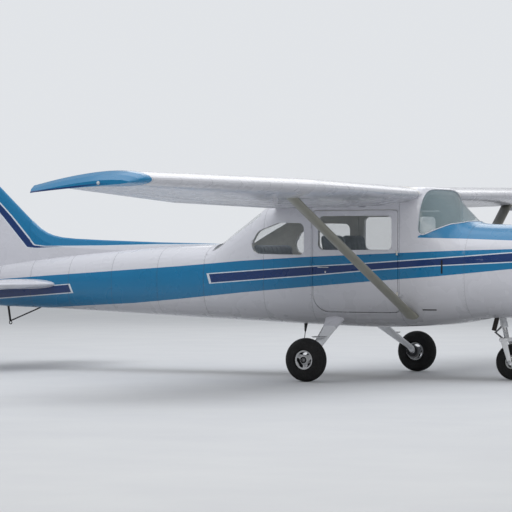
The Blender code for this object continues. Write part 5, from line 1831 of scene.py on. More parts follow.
@dataclass
class NoseGear:
    """The nose strut, its steered fork, scissors and wheel."""

    wheel_station: float = -0.173
    size: WheelSize = WheelSize(0.18, 0.127, 0.0655, 0.013)
    strut_station: float = -0.075
    strut_z: float = 0.55
    lean_degrees: float = 12.0

    def along(self, z: float) -> Vector:
        """A point of the strut's axis."""
        return at(self.strut_station - (self.strut_z - z) * math.tan(math.radians(self.lean_degrees)), 0, z)

    def shaft(self, low: float, high: float, radius: float, bevel: float = 0.003) -> Thing:
        """A bar on the strut's axis."""
        return bar(self.along(low), self.along(high), radius, 48, bevel)

    def barrel(self) -> list[Thing]:
        """The painted outer cylinder with its collars and its two brackets on the firewall.

        Returns:
            The pieces.
        """
        collars = [self.shaft(low, high, 0.0372) for low, high in ((0.546, 0.572), (0.69, 0.715), (0.915, 0.945))]
        brackets = [block(at(0.1385, -0.052, z - 0.020), (self.along(z).x, 0.052, z + 0.020), 0.005)
                    for z in (0.70, 0.93)]
        return [self.shaft(0.546, 0.98, 0.0345, 0.002), *collars, *brackets]

    def scissors(self) -> list[Thing]:
        """The two flat torque links behind the piston, with their pins.

        Returns:
            The pieces.
        """
        upper, lower = self.along(0.527) - Vector((0.034, 0, 0)), self.along(0.412) - Vector((0.046, 0, 0))
        knee = (upper + lower) / 2 - Vector((0.070, 0, 0))
        across = Vector((0, 1, 0))
        outline = ((-1, -0.8), (-0.9, -1), (0.9, -1), (1, -0.8), (1, 0.8), (0.9, 1), (-0.9, 1), (-1, 0.8))
        pieces = []
        for start in (upper, lower):
            thick = (knee - start).normalized().cross(across) * 0.005
            pieces.append(lofted([[start.lerp(knee, share) + across * y * wide + thick * t for y, t in outline]
                                  for share, wide in ((-0.08, 0.020), (0.0, 0.024), (0.5, 0.017), (1.0, 0.012),
                                                      (1.08, 0.009))]))
        return pieces + [bar(place - across * half, place + across * half, 0.006, 16, 0.001)
                         for place, half in ((upper, 0.027), (lower, 0.027), (knee, 0.016))]

    def fork(self, axle: Vector) -> list[Thing]:
        """The fork's cast crown and its two tapered legs.

        Args:
            axle: the wheel's middle.

        Returns:
            The pieces.
        """
        crown = self.along(0.40)
        half = Vector((0.046, 0.101, 0.019))
        pieces = [block(crown - half, crown + half, 0.012, 4)]
        turns = [2 * math.pi * i / 32 for i in range(32)]
        for s in (-1, 1):
            top, foot = (place + Vector((0, s * 0.093, 0)) for place in (crown, axle))
            pieces.append(lofted([[top.lerp(foot, share) + Vector((math.cos(a) * wide, math.sin(a) * 0.0086, 0))
                                   for a in turns] for share, wide in (
                (-0.04, 0.030), (0.04, 0.038), (0.3, 0.032), (0.7, 0.026), (0.93, 0.024), (1.06, 0.023),
                (1.13, 0.013))]))
        return pieces

    def build(self) -> None:
        """All of the nose gear."""
        fit("nose_strut_barrel", self.barrel(), Body.AIRFRAME, "gear_enamel", ("nose_strut",))
        axle = at(self.wheel_station, 0, self.size.tyre_radius)
        across = Vector((0, 1, 0))
        pin = bar(axle - across * 0.108, axle + across * 0.108, 0.0123, 32, 0.001)
        nuts = [bar(axle + across * s * 0.1025, axle + across * s * 0.1095, 0.019, 6, 0.0012) for s in (-1, 1)]
        fit("oleo_piston", [self.shaft(0.395, 0.535, 0.0245, 0.002), pin, *nuts], Body.FORK, "bright_steel")
        collar = self.shaft(0.517, 0.5446, 0.0355)
        fit("nose_fork_casting", [*self.fork(axle), collar], Body.FORK, "gear_enamel", ("nose_fork",))
        fit("torque_links", self.scissors(), Body.FORK, "dull_steel")
        Wheel("nose", axle, Body.NOSE_WHEEL, self.size, (-1, 1)).build()


def ring_of(count: int, shift: float) -> list[Vector]:
    """The ways out from the X axis at evenly spaced turns about it."""
    turns = [2 * math.pi * (number + shift) / count for number in range(count)]
    return [Vector((0, math.cos(turn), math.sin(turn))) for turn in turns]


@dataclass
class Propeller:
    """The two-bladed propeller and its spinner."""

    station: float = -0.958
    height: float = 1.24
    turn_degrees: float = 38.0
    radius: float = 0.9525
    hub_radius: float = 0.0605
    tip_rounding: float = 0.055
    paint_from: float = 0.86
    slot_room: float = 0.012
    slot_reach: float = 0.24
    # reach, chord, thickness, pitch in degrees
    blade_rows: tuple = ((0.000, 0.095, 0.070, 60), (0.100, 0.105, 0.050, 48), (0.220, 0.135, 0.032, 38),
                         (0.450, 0.150, 0.020, 27), (0.720, 0.130, 0.013, 20), (0.900, 0.100, 0.009, 17),
                         (0.9525, 0.060, 0.006, 16))
    # along, radius
    spinner_rows: tuple = ((0.0, 0.162), (0.075, 0.158), (0.150, 0.146), (0.225, 0.122), (0.285, 0.088),
                           (0.322, 0.045))

    @staticmethod
    def ring(reach: float, chord: float, thick: float, pitch: float, count: int = 40) -> list[Vector]:
        """One section of a blade that points up: thickest ahead of its middle, with a thin rear edge.

        Args:
            reach: the distance from the propeller's axis.
            chord: its chord.
            thick: its thickness.
            pitch: the blade angle in degrees.
            count: how many points.

        Returns:
            The points.
        """
        turn = math.radians(pitch)
        ring = []
        for i in range(count):
            angle = 2 * math.pi * i / count
            across = 0.5 * chord * math.cos(angle)
            share = (1 - math.cos(angle)) / 2
            fullness = 1.0 if reach < 0.08 else 0.62 + 0.38 * math.sin(math.pi * min(1.0, share + 0.18)) ** 0.6
            through = 0.5 * thick * math.sin(angle) * min(1.0, fullness)
            ring.append(Vector((across * math.sin(turn) + through * math.cos(turn),
                                across * math.cos(turn) - through * math.sin(turn), reach)))
        return ring

    def blade(self, number: int, grow: float = 0.0, last: float = 1.0) -> Thing:
        """One blade with its rounded tip, or the room it needs through the spinner.

        Args:
            number: which blade, from 0.
            grow: what is added to chord and thickness.
            last: the share of the radius at which it ends.

        Returns:
            The piece.
        """
        place = Matrix.Translation(at(self.station, 0, self.height)) @ Matrix.Rotation(
            math.radians(self.turn_degrees + 180 * number), 4, "X")
        rings = []
        for reach, chord, thick, pitch in evenly(self.blade_rows, 60):
            if reach > last * self.radius:
                break
            left = min(1.0, (self.radius - reach) / self.tip_rounding)
            chord *= max(0.10, math.sqrt(max(0.0, 1 - (1 - left) ** 2)))
            rings.append([place @ p for p in self.ring(reach, chord + grow, thick + grow, pitch)])
        return lofted(rings)

    def build(self) -> None:
        """The blades with their painted tips, the hub and the spinner over it."""
        centre = at(self.station, 0, self.height)
        blades = [painted(self.blade(number), "prop_black", "prop_tip_paint") for number in range(2)]
        for blade in blades:
            for face in blade.data.polygons:
                face.material_index = int((face.center - centre).length > self.paint_from * self.radius)
        hub = bar(at(-0.901, 0, self.height), at(-1.009, 0, self.height), self.hub_radius, 56, 0.003)
        fit("propeller_metalwork", [*blades, painted(hub, "prop_black")], Body.PROPELLER, "", ("propeller",),
            "propeller_metal")
        roots = [at(-0.9, 0, self.height) + out * 0.046 for out in ring_of(6, 8 / 60)]
        bolts = [bar(root, root + Vector((0.1135, 0, 0)), 0.0072, 6, 0.0008) for root in roots]
        fit("hub_bolts", bolts, Body.PROPELLER, "bright_steel")
        self.spinner(at(-0.885, 0, self.height))

    def spinner(self, start: Vector) -> None:
        """The spun shell, cut for the blades, on its rear plate with screws round the rim.

        Args:
            start: the middle of the rear plate.
        """
        outer = [(radius - 0.0006, along) for along, radius in
                 smooth_rows(self.spinner_rows, np.linspace(0.002, 0.322, 30)).tolist()]
        nose = [(0.040, 0.3255), (0.032, 0.329), (0.021, 0.332), (0.010, 0.334), (0.0, 0.3346)]
        inner = [(0.0, 0.330), (0.036, 0.3215)] + [(max(0.0, r - 0.003), a - 0.001) for r, a in outer[::-1]]
        shell = spun(outer + nose + inner, start, "X", 96, True)
        for number in range(2):
            cut_by(shell, self.blade(number, self.slot_room, self.slot_reach))
        rim = spun([(0.1600, 0.0), (0.1600, 0.012), (0.1575, 0.014), (0.070, 0.014), (0.070, 0.0)], start, "X", 96,
                   True)
        screws = []
        for out in ring_of(12, 0.5):
            place = start + Vector((0.012, 0, 0)) + out * 0.1590
            screws.append(bar(place, place + out * 0.0022, 0.0042, 12, 0.0, 0.0034))
        fit("spinner_shell", smooth(shell, 32), Body.PROPELLER, "plain_enamel", ("spinner",))
        fit("spinner_rim", rim, Body.PROPELLER, "bright_steel")
        fit("spinner_screws", screws, Body.PROPELLER, "dull_steel")


@dataclass
class Cowling:
    """What is seen on and through the engine cowling."""

    split_z: float = 1.20

    @staticmethod
    def plate(y: float, low_z: float, high_z: float, station: float) -> Thing:
        """A near-black plate behind an opening: painted shade for the dark inside."""
        return block(at(station, y - 0.10, low_z), at(station - 0.003, y + 0.10, high_z))

    def inlets(self) -> None:
        """The rolled lips of the two cooling inlets."""
        lips = []
        for s in (-1, 1):
            corners = ((s * 0.125, 1.345), (s * 0.285, 1.335), (s * 0.285, 1.225), (s * 0.125, 1.215))
            lips.append(tube([at(-0.8590, y, z) for y, z in round_corners(corners, 0.046, 7)], 0.0055, 3, True, False))
        fit("inlet_lips", lips, Body.AIRFRAME, "bright_steel")

    def intake(self) -> None:
        """The air filter's frame and its pleats, in the lower opening."""
        x = x_at(-0.842)
        spots = [(-0.098, 0.098, z, z + 0.007, 0.002, 0.001) for z in (0.987, 1.066)]
        spots += [(y, y + 0.007, 0.987, 1.073, 0.002, 0.001) for y in (-0.098, 0.091)]
        spots += [(-0.09 + 0.0098 * i, -0.0868 + 0.0098 * i, 0.99, 1.068, -0.001, 0.0) for i in range(19)]
        fit("intake_filter", [block((x - 0.006, port, low), (x + out, starboard, high), bevel)
                              for port, starboard, low, high, out, bevel in spots], Body.AIRFRAME, "dull_steel")

    def baffles(self) -> None:
        """Near-black plates behind all openings: painted shade for the cowl's dark inside."""
        baffles = [self.plate(s * 0.205, 1.205, 1.36, -0.795) for s in (-1, 1)]
        fit("inlet_baffles", [*baffles, self.plate(0.0, 0.98, 1.08, -0.825)], Body.AIRFRAME, "inlet_black")

    def landing_lamps(self) -> None:
        """The two round lamps side by side behind their clear cover."""
        bowl = [(0.0355, 0.014), (0.036, 0.016), (0.034, 0.016), (0.030, 0.006), (0.020, 0.001), (0.0, -0.001),
                (0.0, -0.003), (0.022, -0.002), (0.0345, 0.006)]
        glass = [(0.0338, 0.0145), (0.026, 0.0185), (0.014, 0.0208), (0.0, 0.0215), (0.0, 0.0195), (0.014, 0.0188),
                 (0.0338, 0.0125)]
        centres = [at(-0.800, s * 0.052, 0.895) for s in (-1, 1)]
        bowls = [spun(bowl, centre, "X", 48, True) for centre in centres]
        bulbs = [bar(centre, centre + Vector((0.010, 0, 0)), 0.006, 16, 0.001, 0.004) for centre in centres]
        fit("landing_lamp_bowls", bowls + bulbs, Body.AIRFRAME, "bright_steel")
        fit("landing_lamp_glasses", [spun(glass, centre, "X", 48, True) for centre in centres], Body.AIRFRAME,
            "acrylic_sheet")
        # the plate round the lamps is near-black: painted shade inside the nose opening
        fit("lamp_panel", block(at(-0.7945, -0.100, 0.858), at(-0.7975, 0.100, 0.932)), Body.AIRFRAME, "inlet_black")

    def fasteners(self) -> None:
        """The quarter-turn studs along the split and round the rear edge."""
        studs = []
        for s in (-1, 1):
            for station, z in [*[(-0.74 + 0.098 * i, self.split_z - 0.018) for i in range(9)],
                               *[(0.118, z) for z in (0.74, 0.86, 0.98, 1.10, 1.27, 1.36, 1.44)]]:
                place, normal = HULL.side_point(station, z, s)
                studs.append(bar(place - normal * 0.001, place + normal * 0.0016, 0.0075, 18, 0.0, 0.0066))
        fit("cowl_studs", studs, Body.AIRFRAME, "cowl_enamel")

    def oil_door(self) -> None:
        """The little hinged door over the filler, on top of the cowl to starboard."""
        rings = []
        for station in np.linspace(-0.42, -0.28, 8):
            spots = [HULL.smooth.ray_cast(at(station, y, 3.0), Vector((0, 0, -1)))[:2]
                     for y in np.linspace(-0.30, -0.18, 8)]
            rings.append([p + n * 0.0016 for p, n in spots] + [p - n * 0.002 for p, n in spots[::-1]])
        fit("oil_door", lofted(rings), Body.AIRFRAME, "cowl_enamel")

    def exhaust(self) -> None:
        """The muffler, its riser, and the stack with an open mouth and a rolled lip."""
        top, mouth = at(-0.115, -0.155, 0.80), at(-0.030, -0.150, 0.495)
        bore = bar(top.lerp(mouth, 0.45), mouth + (mouth - top) * 0.1, 0.0216, 48)
        stack = cut_by(bar(top, mouth, 0.0238, 48), bore)
        lip = moved(spun([(0.0216, 0.0), (0.0240, 0.0), (0.0240, 0.004), (0.0216, 0.004)], (0, 0, 0), "Z", 48, True),
                    Matrix.Translation(mouth) @ (top - mouth).to_track_quat("Z", "Y").to_matrix().to_4x4())
        muffler = bar(at(-0.30, -0.155, 0.83), at(-0.02, -0.155, 0.83), 0.0545, 48, 0.006)
        riser = bar(at(-0.24, -0.185, 0.83), at(-0.24, -0.185, 1.059), 0.0195, 32)
        fit("exhaust_system", [stack, lip, muffler, riser], Body.AIRFRAME, "exhaust_steel", ("exhaust_stack",))

    def build(self) -> None:
        """All of it."""
        self.inlets()
        self.intake()
        self.baffles()
        self.landing_lamps()
        self.fasteners()
        self.oil_door()
        self.exhaust()


@dataclass
class Seat:
    """A padded seat: cushion and back are swelled by cloth simulation and then sewn."""

    word: str
    middle: float
    half: float
    front: float
    rear: float
    low: float
    high: float
    back_top: float
    channels: tuple[float, ...]
    lean: float = 0.10
    back_depth: float = 0.11
    inset: float = 0.012
    cap: float = 0.011
    voxel: float = 0.010
    pressure: float = 4.0
    swell_frames: int = 20
    thread: float = 0.0075
    deepest: float = 0.007

    def swell(self, pad: Thing) -> None:
        """Remeshes a pad, blows it up as cloth and keeps each point within the cap of where it was.

        Args:
            pad: the padded piece.
        """
        apply_modifier(pad, "REMESH", mode="VOXEL", voxel_size=self.voxel)
        apply_modifier(pad, "SMOOTH", factor=0.5, iterations=6)
        start = [v.co.copy() for v in pad.data.vertices]
        cloth = pad.modifiers.new("swell", "CLOTH")
        cloth.settings.use_pressure = True
        cloth.settings.uniform_pressure_force = self.pressure
        cloth.settings.effector_weights.gravity = 0.0
        cloth.point_cache.frame_end = self.swell_frames
        scene = bpy.context.scene
        for number in range(1, self.swell_frames + 1):
            scene.frame_set(number)
        shape = pad.evaluated_get(bpy.context.evaluated_depsgraph_get()).to_mesh()
        swelled = [v.co.copy() for v in shape.vertices]
        pad.modifiers.remove(cloth)
        scene.frame_set(1)
        for vertex, place, now in zip(pad.data.vertices, start, swelled):
            shift = now - place
            vertex.co = place + shift * min(1.0, self.cap / max(shift.length, 1e-6))
        apply_modifier(pad, "SUBSURF", levels=1, render_levels=1)

    def sew(self, pad: Thing, seams: Callable[[Vector, Vector], list[tuple[float, float]]]) -> None:
        """Presses the seams in: each is a distance from the thread and a depth.

        Args:
            pad: the padded piece.
            seams: gives each seam near a place, as a distance and a depth.
        """
        moves = []
        for vertex in pad.data.vertices:
            depth = sum(deep * math.exp(-(away / self.thread) ** 2) for away, deep in seams(vertex.co, vertex.normal))
            moves.append(vertex.normal * -min(depth, self.deepest))
        for vertex, move in zip(pad.data.vertices, moves):
            vertex.co += move

    def channel_seams(self, place: Vector) -> list[tuple[float, float]]:
        """The distances from the channels that run up the seat."""
        return [(place.y - self.middle - c, 0.006) for c in self.channels]

    def cushion_seams(self, place: Vector, normal: Vector) -> list[tuple[float, float]]:
        """Channels along the top, one cross seam behind the front roll and a seam round the border.

        Args:
            place: a point of the pad.
            normal: the way out of the surface there.

        Returns:
            (distance, depth) of each seam.
        """
        seams = [(place.z - (self.high - 0.034), 0.004)] if abs(normal.z) < 0.7 else []
        if normal.z > 0.3 or normal.x > 0.5:
            seams += [*self.channel_seams(place), (place.x - x_at(self.front + 0.085), 0.005)]
        return seams

    def back_seams(self, place: Vector, normal: Vector) -> list[tuple[float, float]]:
        """The back's channels, its cross seam below the top and its border.

        Args:
            place: a point of the pad.
            normal: the way out of the surface there.

        Returns:
            (distance, depth) of each seam.
        """
        share = (place.z - self.low) / (self.back_top - self.low)
        middle_x = x_at(self.rear - 0.01 + self.back_depth * 0.32 + self.lean * share)
        seams = [(place.x - middle_x, 0.004)] if abs(normal.x) < 0.6 else []
        if normal.x > 0.3:
            seams += [*self.channel_seams(place), (place.z - (self.back_top - 0.10), 0.005)]
        return seams

    def build(self) -> None:
        """The seat's two pads as one piece."""
        inset, port, starboard = self.inset, self.middle + self.half - self.inset, self.middle - self.half + self.inset
        cushion = block(at(self.rear + 0.004, starboard, self.low + inset * 0.5),
                        at(self.front + inset, port, self.high - inset), 0.032, 4)
        back = block(at(self.rear - 0.01 + self.back_depth - inset, starboard, self.low + 0.03),
                     at(self.rear - 0.01 + inset, port, self.back_top - inset), 0.036, 4)
        for vertex in back.data.vertices:
            vertex.co.x -= self.lean * (vertex.co.z - self.low) / (self.back_top - self.low)
        for pad, seams in ((cushion, self.cushion_seams), (back, self.back_seams)):
            self.swell(pad)
            self.sew(pad, seams)
        piece = fit("padded_seat_" + self.word, smooth(joined([cushion, back]), 60), Body.AIRFRAME, "seat_cloth",
                    ("seat_cushion_" + self.word,))


@dataclass
class Panel:
    """The instrument panel's dials, radios, knobs and yokes."""

    face_station: float = 0.6855
    yoke_z: float = 1.175
    # across, height, radius, where the needle points in degrees
    dials: tuple = ((0.335, 1.292, 0.039, 200), (0.245, 1.292, 0.039, 90), (0.155, 1.292, 0.039, 315),
                    (0.350, 1.088, 0.039, 90), (0.455, 1.235, 0.030, 60), (0.455, 1.150, 0.030, 120),
                    (-0.185, 1.292, 0.030, 230), (-0.260, 1.292, 0.030, 250), (-0.335, 1.292, 0.030, 300),
                    (-0.410, 1.285, 0.026, 40), (0.140, 1.088, 0.039, 150))

    def face(self, proud: float, y: float, z: float) -> Vector:
        """A point in front of the panel's face."""
        return at(self.face_station + proud, y, z)

    def knob(self, start: Vector, length: float, *shape: float) -> Thing:
        """A bar that stands out of the panel."""
        return bar(start, start - Vector((length, 0, 0)), *shape)

    def dial(self, y: float, z: float, radius: float, degrees: float) -> tuple[Thing, Thing, list[Thing]]:
        """One instrument's bezel, its face, and its ticks and needle.

        Args:
            y: the distance to port.
            z: the height.
            radius: the bezel's radius.
            degrees: where the needle points.

        Returns:
            The bezel, the face, and the ticks with the needle.
        """
        centre = self.face(0, y, z)
        bezel = spun([(radius, 0.0), (radius, -0.0045), (radius - 0.002, -0.006), (radius - 0.006, -0.0035),
                      (radius - 0.006, 0.0)], centre, "X", 40, True)
        plate = self.knob(centre, 0.0012, radius - 0.0055, 40)
        tick = block(self.face(0.0017, y - 0.0006, z + radius * 0.62),
                     self.face(0.0012, y + 0.0006, z + radius * 0.78))
        needle = block(self.face(0.0026, y - 0.0011, z - radius * 0.18),
                       self.face(0.0019, y + 0.0011, z + radius * 0.66))

        def turned(turn: float) -> Matrix:
            """A turn about the dial's middle."""
            spin = Matrix.Rotation(math.radians(turn), 4, "X")
            return Matrix.Translation(centre) @ spin @ Matrix.Translation(-centre)

        ticks = [tick, *[copy_of(tick, turned(30 * number)) for number in range(1, 12)]]
        return bezel, plate, [*ticks, moved(needle, turned(degrees))]

    def radios(self) -> tuple[list[Thing], list[Thing]]:
        """The stack of radios in the middle, with windows and knobs, and the push controls below.

        Returns:
            The cases with their windows, and the knobs.
        """
        cases, knobs = [], []
        for low, high in ((1.262, 1.318), (1.204, 1.258), (1.146, 1.200), (1.088, 1.142)):
            cases.append(block(self.face(0.009, -0.135, low), self.face(0, 0.045, high), 0.0022))
            for y in (-0.118, 0.030):
                foot = self.face(0.009, y, (low + high) / 2 - 0.008)
                knobs.append(self.knob(foot, 0.016, 0.0085, 20, 0.0012, 0.0075))
            cases.append(block(self.face(0.0105, -0.085, high - 0.022), self.face(0.009, -0.005, high - 0.007),
                               0.0006))
        for y, radius in ((-0.015, 0.014), (-0.070, 0.012), (-0.120, 0.009), (0.05, 0.009)):
            knobs.append(self.knob(self.face(0, y, 1.035), 0.040, 0.004, 14))
            knobs.append(self.knob(self.face(0.040, y, 1.035), 0.020, radius, 24, 0.003, radius * 0.86))
        for number in range(7):
            y = 0.18 + 0.036 * number
            knobs.append(block(self.face(0.008, y - 0.009, 1.004), self.face(0, y + 0.009, 1.024), 0.002))
        return cases, knobs

    def yoke(self, side: Side) -> None:
        """One control yoke: shaft, collar, hub and a bent grip bar with padded horns.

        Args:
            side: the side that it is on.
        """
        def spot(station: float, y: float, z: float) -> Vector:
            """A point by its distance from the yoke's axis."""
            return at(station, side.value * 0.245 + y, self.yoke_z + z)

        shaft = bar(spot(0.6853, 0, 0), spot(0.80, 0, 0), 0.0125, 32)
        collar = bar(spot(0.6855, 0, 0), spot(0.6945, 0, 0), 0.026, 32, 0.002, 0.021)
        hub = block(spot(0.811, -0.036, -0.020), spot(0.788, 0.036, 0.019), 0.008, 4)
        half = ((0.140, 0.098), (0.139, 0.055), (0.133, 0.012), (0.110, -0.004), (0.06, 0.0))
        grip = tube([spot(0.80, *p) for p in [*[(-y, z) for y, z in half], *half[::-1]]], 0.0108, 4)
        horns = [bar(spot(0.80, s * 0.1365, 0.026), spot(0.80, s * 0.140, 0.100), 0.0135, 28, 0.005, 0.0128)
                 for s in (-1, 1)]
        fit("control_yoke_" + side.word, [shaft, collar, hub, grip, *horns], Body.AIRFRAME, "panel_black",
            ("yoke_" + side.word,))

    def build(self) -> None:
        """Everything on the panel, and the compass on the shelf above it."""
        bezels, plates, marks = zip(*[self.dial(*row) for row in self.dials])
        cases, knobs = self.radios()
        compass = block(at(0.54, -0.036, 1.4005), at(0.47, 0.036, 1.462), 0.014, 4)
        fit("panel_hardware", [*bezels, *cases, *knobs, compass], Body.AIRFRAME, "panel_black")
        fit("dial_plates", plates, Body.AIRFRAME, "dial_face")
        fit("dial_marks", [mark for group in marks for mark in group], Body.AIRFRAME, "dial_mark")
        for side in Side:
            self.yoke(side)


class Cabin:
    """Everything inside the cabin."""

    def build(self) -> None:
        """The seats and the panel."""
        pair, bench = (-0.13, -0.045, 0.045, 0.13), (-0.28, -0.19, -0.10, 0.0, 0.10, 0.19, 0.28)
        for side in Side:
            Seat(side.word, side.value * 0.24, 0.215, 1.10, 1.58, 0.86, 0.97, 1.46, pair).build()
        Seat("rear", 0.0, 0.395, 2.02, 2.40, 0.84, 0.95, 1.36, bench).build()
        Panel().build()


class WindowSeals:
    """The rubber round every pane, and the pale retainer outside it on the fixed ones."""

    # how near the skin an outline lies, how sharp its edge is, how far apart the seal's points are, and the
    # fewest points that make an outline
    NEAR = 0.0035
    SHARP_DEGREES = 42.0
    SPACING = 0.012
    FEWEST_POINTS = 12

    def rim_loops(self, thing: Thing) -> list[list[Vector]]:
        """The closed outlines where a pane's outer face meets its edge, each as places on the fuselage's skin.

        Args:
            thing: the pane.

        Returns:
            The outlines.
        """
        shape = bmesh.new()
        shape.from_mesh(thing.data)
        ways: dict[int, list[int]] = {}
        places = {}
        for edge in shape.edges:
            if len(edge.link_faces) != 2 or edge.calc_face_angle(0.0) < math.radians(self.SHARP_DEGREES):
                continue
            ends = []
            for vertex in edge.verts:
                spot, _, _, depth = HULL.smooth.find_nearest(vertex.co)
                if depth < self.NEAR:
                    ends.append(vertex.index)
                    places[vertex.index] = spot
            if len(ends) == 2:
                for here, there in (ends, ends[::-1]):
                    ways.setdefault(here, []).append(there)
        shape.free()
        loops, seen = [], set()
        for first in ways:
            line, ahead = [], [first]
            while ahead := [n for n in ahead if n not in seen]:
                line.append(ahead[0])
                seen.add(ahead[0])
                ahead = ways[ahead[0]]
            if len(line) > self.FEWEST_POINTS:
                loops.append([places[i] for i in line])
        return loops

    def even_loop(self, points: Sequence[Vector]) -> list[Vector]:
        """A closed line's points spaced evenly.

        Args:
            points: the places, in order.

        Returns:
            The points.
        """
        closed = [*points, points[0]]
        lengths = np.cumsum([0.0] + [(b - a).length for a, b in zip(closed, closed[1:])])
        count = max(self.FEWEST_POINTS, int(lengths[-1] / self.SPACING))
        wanted = np.linspace(0, lengths[-1], count, endpoint=False)
        table = np.array([tuple(p) for p in closed])
        return [Vector(row) for row in np.stack([np.interp(wanted, lengths, table[:, c]) for c in range(3)], 1)]

    def build(self) -> None:
        """One seal for each pane, read from the pane's own rim."""
        for node, body, radius, finish in PANES:
            loops = self.rim_loops(bpy.data.objects[node + "_pane"])
            if loops:
                seals = [tube(self.even_loop(loop), radius, 2, True, False) for loop in loops]
                fit(node + "_seal", seals, body, finish, slot="tyre_rubber")


class DoorFurniture:
    """Handles and locks of the two doors and the baggage door."""

    @staticmethod
    def handle(station: float, z: float, side: int, length: float) -> list[Thing]:
        """A pull lever on its oval plate, with the lock below it.

        Args:
            station: its middle, metres aft of the firewall.
            z: the height.
            side: 1 to port, -1 to starboard.
            length: the lever's length.

        Returns:
            The pieces.
        """
        reach = length / 2 + 0.012
        plate = skin_plate((station - reach, station + reach), (z - 0.016, z + 0.016), side, 0.0016, 0.001, 6)
        line = []
        for share, lift in ((-0.5, 0.002), (-0.47, 0.010), (-0.40, 0.0145), (0.0, 0.016), (0.40, 0.0145),
                            (0.5, 0.0135)):
            place, normal = HULL.side_point(station + share * length, z, side)
            line.append(place + normal * lift)
        place, normal = HULL.side_point(station - 0.02, z - 0.045, side)
        lock = bar(place - normal * 0.002, place + normal * 0.0035, 0.0105, 28, 0.001, 0.0098)
        return [painted(plate, "door_enamel"), painted(tube(line, 0.0058), "bright_steel"),
                painted(lock, "bright_steel")]

    def build(self) -> None:
        """The handles, each on its door."""
        for name, body, *spot in (("door_handle_left", Body.LEFT_DOOR, 1.66, 1.115, 1, 0.115),
                                  ("door_handle_right", Body.RIGHT_DOOR, 1.66, 1.115, -1, 0.115),
                                  ("baggage_latch", Body.BAGGAGE, 2.745, 0.985, 1, 0.050)):
            fit(name, self.handle(*spot), body, "", slot="polished_metal")


@dataclass
class Struts:
    """The two lift struts and the fairings at their ends."""

    foot: tuple = (0.715, 0.47, 0.630)
    head: tuple = (0.992, 2.60, 1.825)
    chord: float = 0.1225
    thick: float = 0.0508
    nose_roundness: float = 0.22

    def build(self) -> None:
        """Each strut with its two cuffs."""
        for side in Side:
            foot, head = (at(station, side.value * y, z) for station, y, z in (self.foot, self.head))
            along = (head - foot).normalized()
            up = Vector((0, -along.z * side.value, abs(along.y))).normalized()

            def skin(rows: Iterable[Row]) -> Thing:
                """The skin through rows of (share of the strut's length, growth in chord, growth in thickness)."""
                spots = [(foot.lerp(head, t), self.chord + wide, self.thick + deep) for t, wide, deep in rows]
                return outward(lofted(oval_rings(spots, up, 56, self.nose_roundness)))

            strut = skin((t, 0.0, 0.0) for t in np.linspace(-0.004, 1.0, 24))
            fit("lift_strut_" + side.word, smooth(strut, 40), Body.AIRFRAME, "strut_enamel", ("strut_" + side.word,))
            cuffs = []
            # each cuff runs between two shares of the length and flares towards the second
            for thin, flared in ((0.060, 0.0), (0.958, 1.0)):
                ends = sorted((thin, flared))
                shares = [(t, ((t - thin) / (flared - thin)) ** 2.2) for t in np.linspace(*ends, 14)]
                cuffs.append(skin((t, 0.008 + 0.018 * grow, 0.006 + 0.012 * grow) for t, grow in shares))
            fit("strut_cuffs_" + side.word, smooth(joined(cuffs), 40), Body.AIRFRAME, "strut_enamel")


@dataclass
class ControlBeads:
    """The stiffening beads pressed into the sheet of every control surface."""

    wide: float = 0.0075
    proud: float = 0.0022
    sunk: float = 0.0012

    def bead(self, form: SurfaceForm, along: float, start: float, end: float, upper: bool) -> Thing:
        """One bead, low and round, that runs with the chord and dies away at its ends.

        Args:
            form: the flying surface.
            along: the place along the span.
            start: the share of the chord where it starts.
            end: where it ends.
            upper: whether it is on the upper side.

        Returns:
            The piece.
        """
        rings = []
        fractions = np.linspace(start, end, 12)
        for number, fraction in enumerate(fractions):
            fade = min(1.0, number / 1.5, (len(fractions) - 1 - number) / 1.5)
            here, across, normal = form.skin_axes(along, fraction, upper)
            shares = [step / 3 - 1 for step in range(7)]
            rings.append([here + across * self.wide * share * max(fade, 0.15)
                          + normal * (self.proud * fade * math.cos(share * math.pi / 2) - 0.0004)
                          for share in shares] + [here - normal * self.sunk])
        return lofted(rings)

    def surface(self, name: str, form: SurfaceForm, body: Body, finish: str, span: Row, pitch: float,
                reach: Callable[[float], Row]) -> None:
        """All the beads of one control surface.

        Args:
            name: the piece's name.
            form: the flying surface.
            body: the CAD body that it rides on.
            finish: the finish's name.
            span: the first and last bead's place.
            pitch: how far apart they are.
            reach: gives each bead's start and end.
        """
        beads = [self.bead(form, along, *reach(along), upper)
                 for along in np.linspace(*span, round((span[1] - span[0]) / pitch)) for upper in (True, False)]
        fit(name, smooth(outward(joined(beads)), 60), body, finish)

    def build(self) -> None:
        """Flaps, ailerons, elevator and rudder."""
        for side in Side:
            wing = SurfaceForm("wing", WING_ROWS, WING_CAMBER, side.value)
            self.surface("flap_beads_" + side.word, wing, side.body("flap"), "wing_enamel", (0.70, 2.46), 0.11,
                         lambda y: (0.80, 0.985))
            self.surface("aileron_beads_" + side.word, wing, side.body("aileron"), "wing_enamel", (2.62, 5.20), 0.11,
                         lambda y: (0.81, 0.98))
        for side in Side:
            tail = SurfaceForm("tailplane", TAILPLANE_ROWS, 0.0, side.value)
            self.surface("elevator_beads_" + side.word, tail, Body.ELEVATOR, "plain_enamel", (0.24, 1.46), 0.11,
                         lambda y, form=tail: self.reach_from(form, y, 6.03))
        fin = SurfaceForm("fin", FIN_ROWS)
        self.surface("rudder_beads", fin, Body.RUDDER, "fin_enamel", (1.00, 2.36), 0.12,
                     lambda z: self.reach_from(fin, z, 6.33 + (z - 0.80) * 0.19 + 0.075))

    @staticmethod
    def reach_from(form: SurfaceForm, along: float, station: float) -> Row:
        """From a hinge line's station to just before the trailing edge, as fractions of the chord."""
        _, leading, chord, *_ = form.row(along)
        return (station - leading) / chord, 0.97


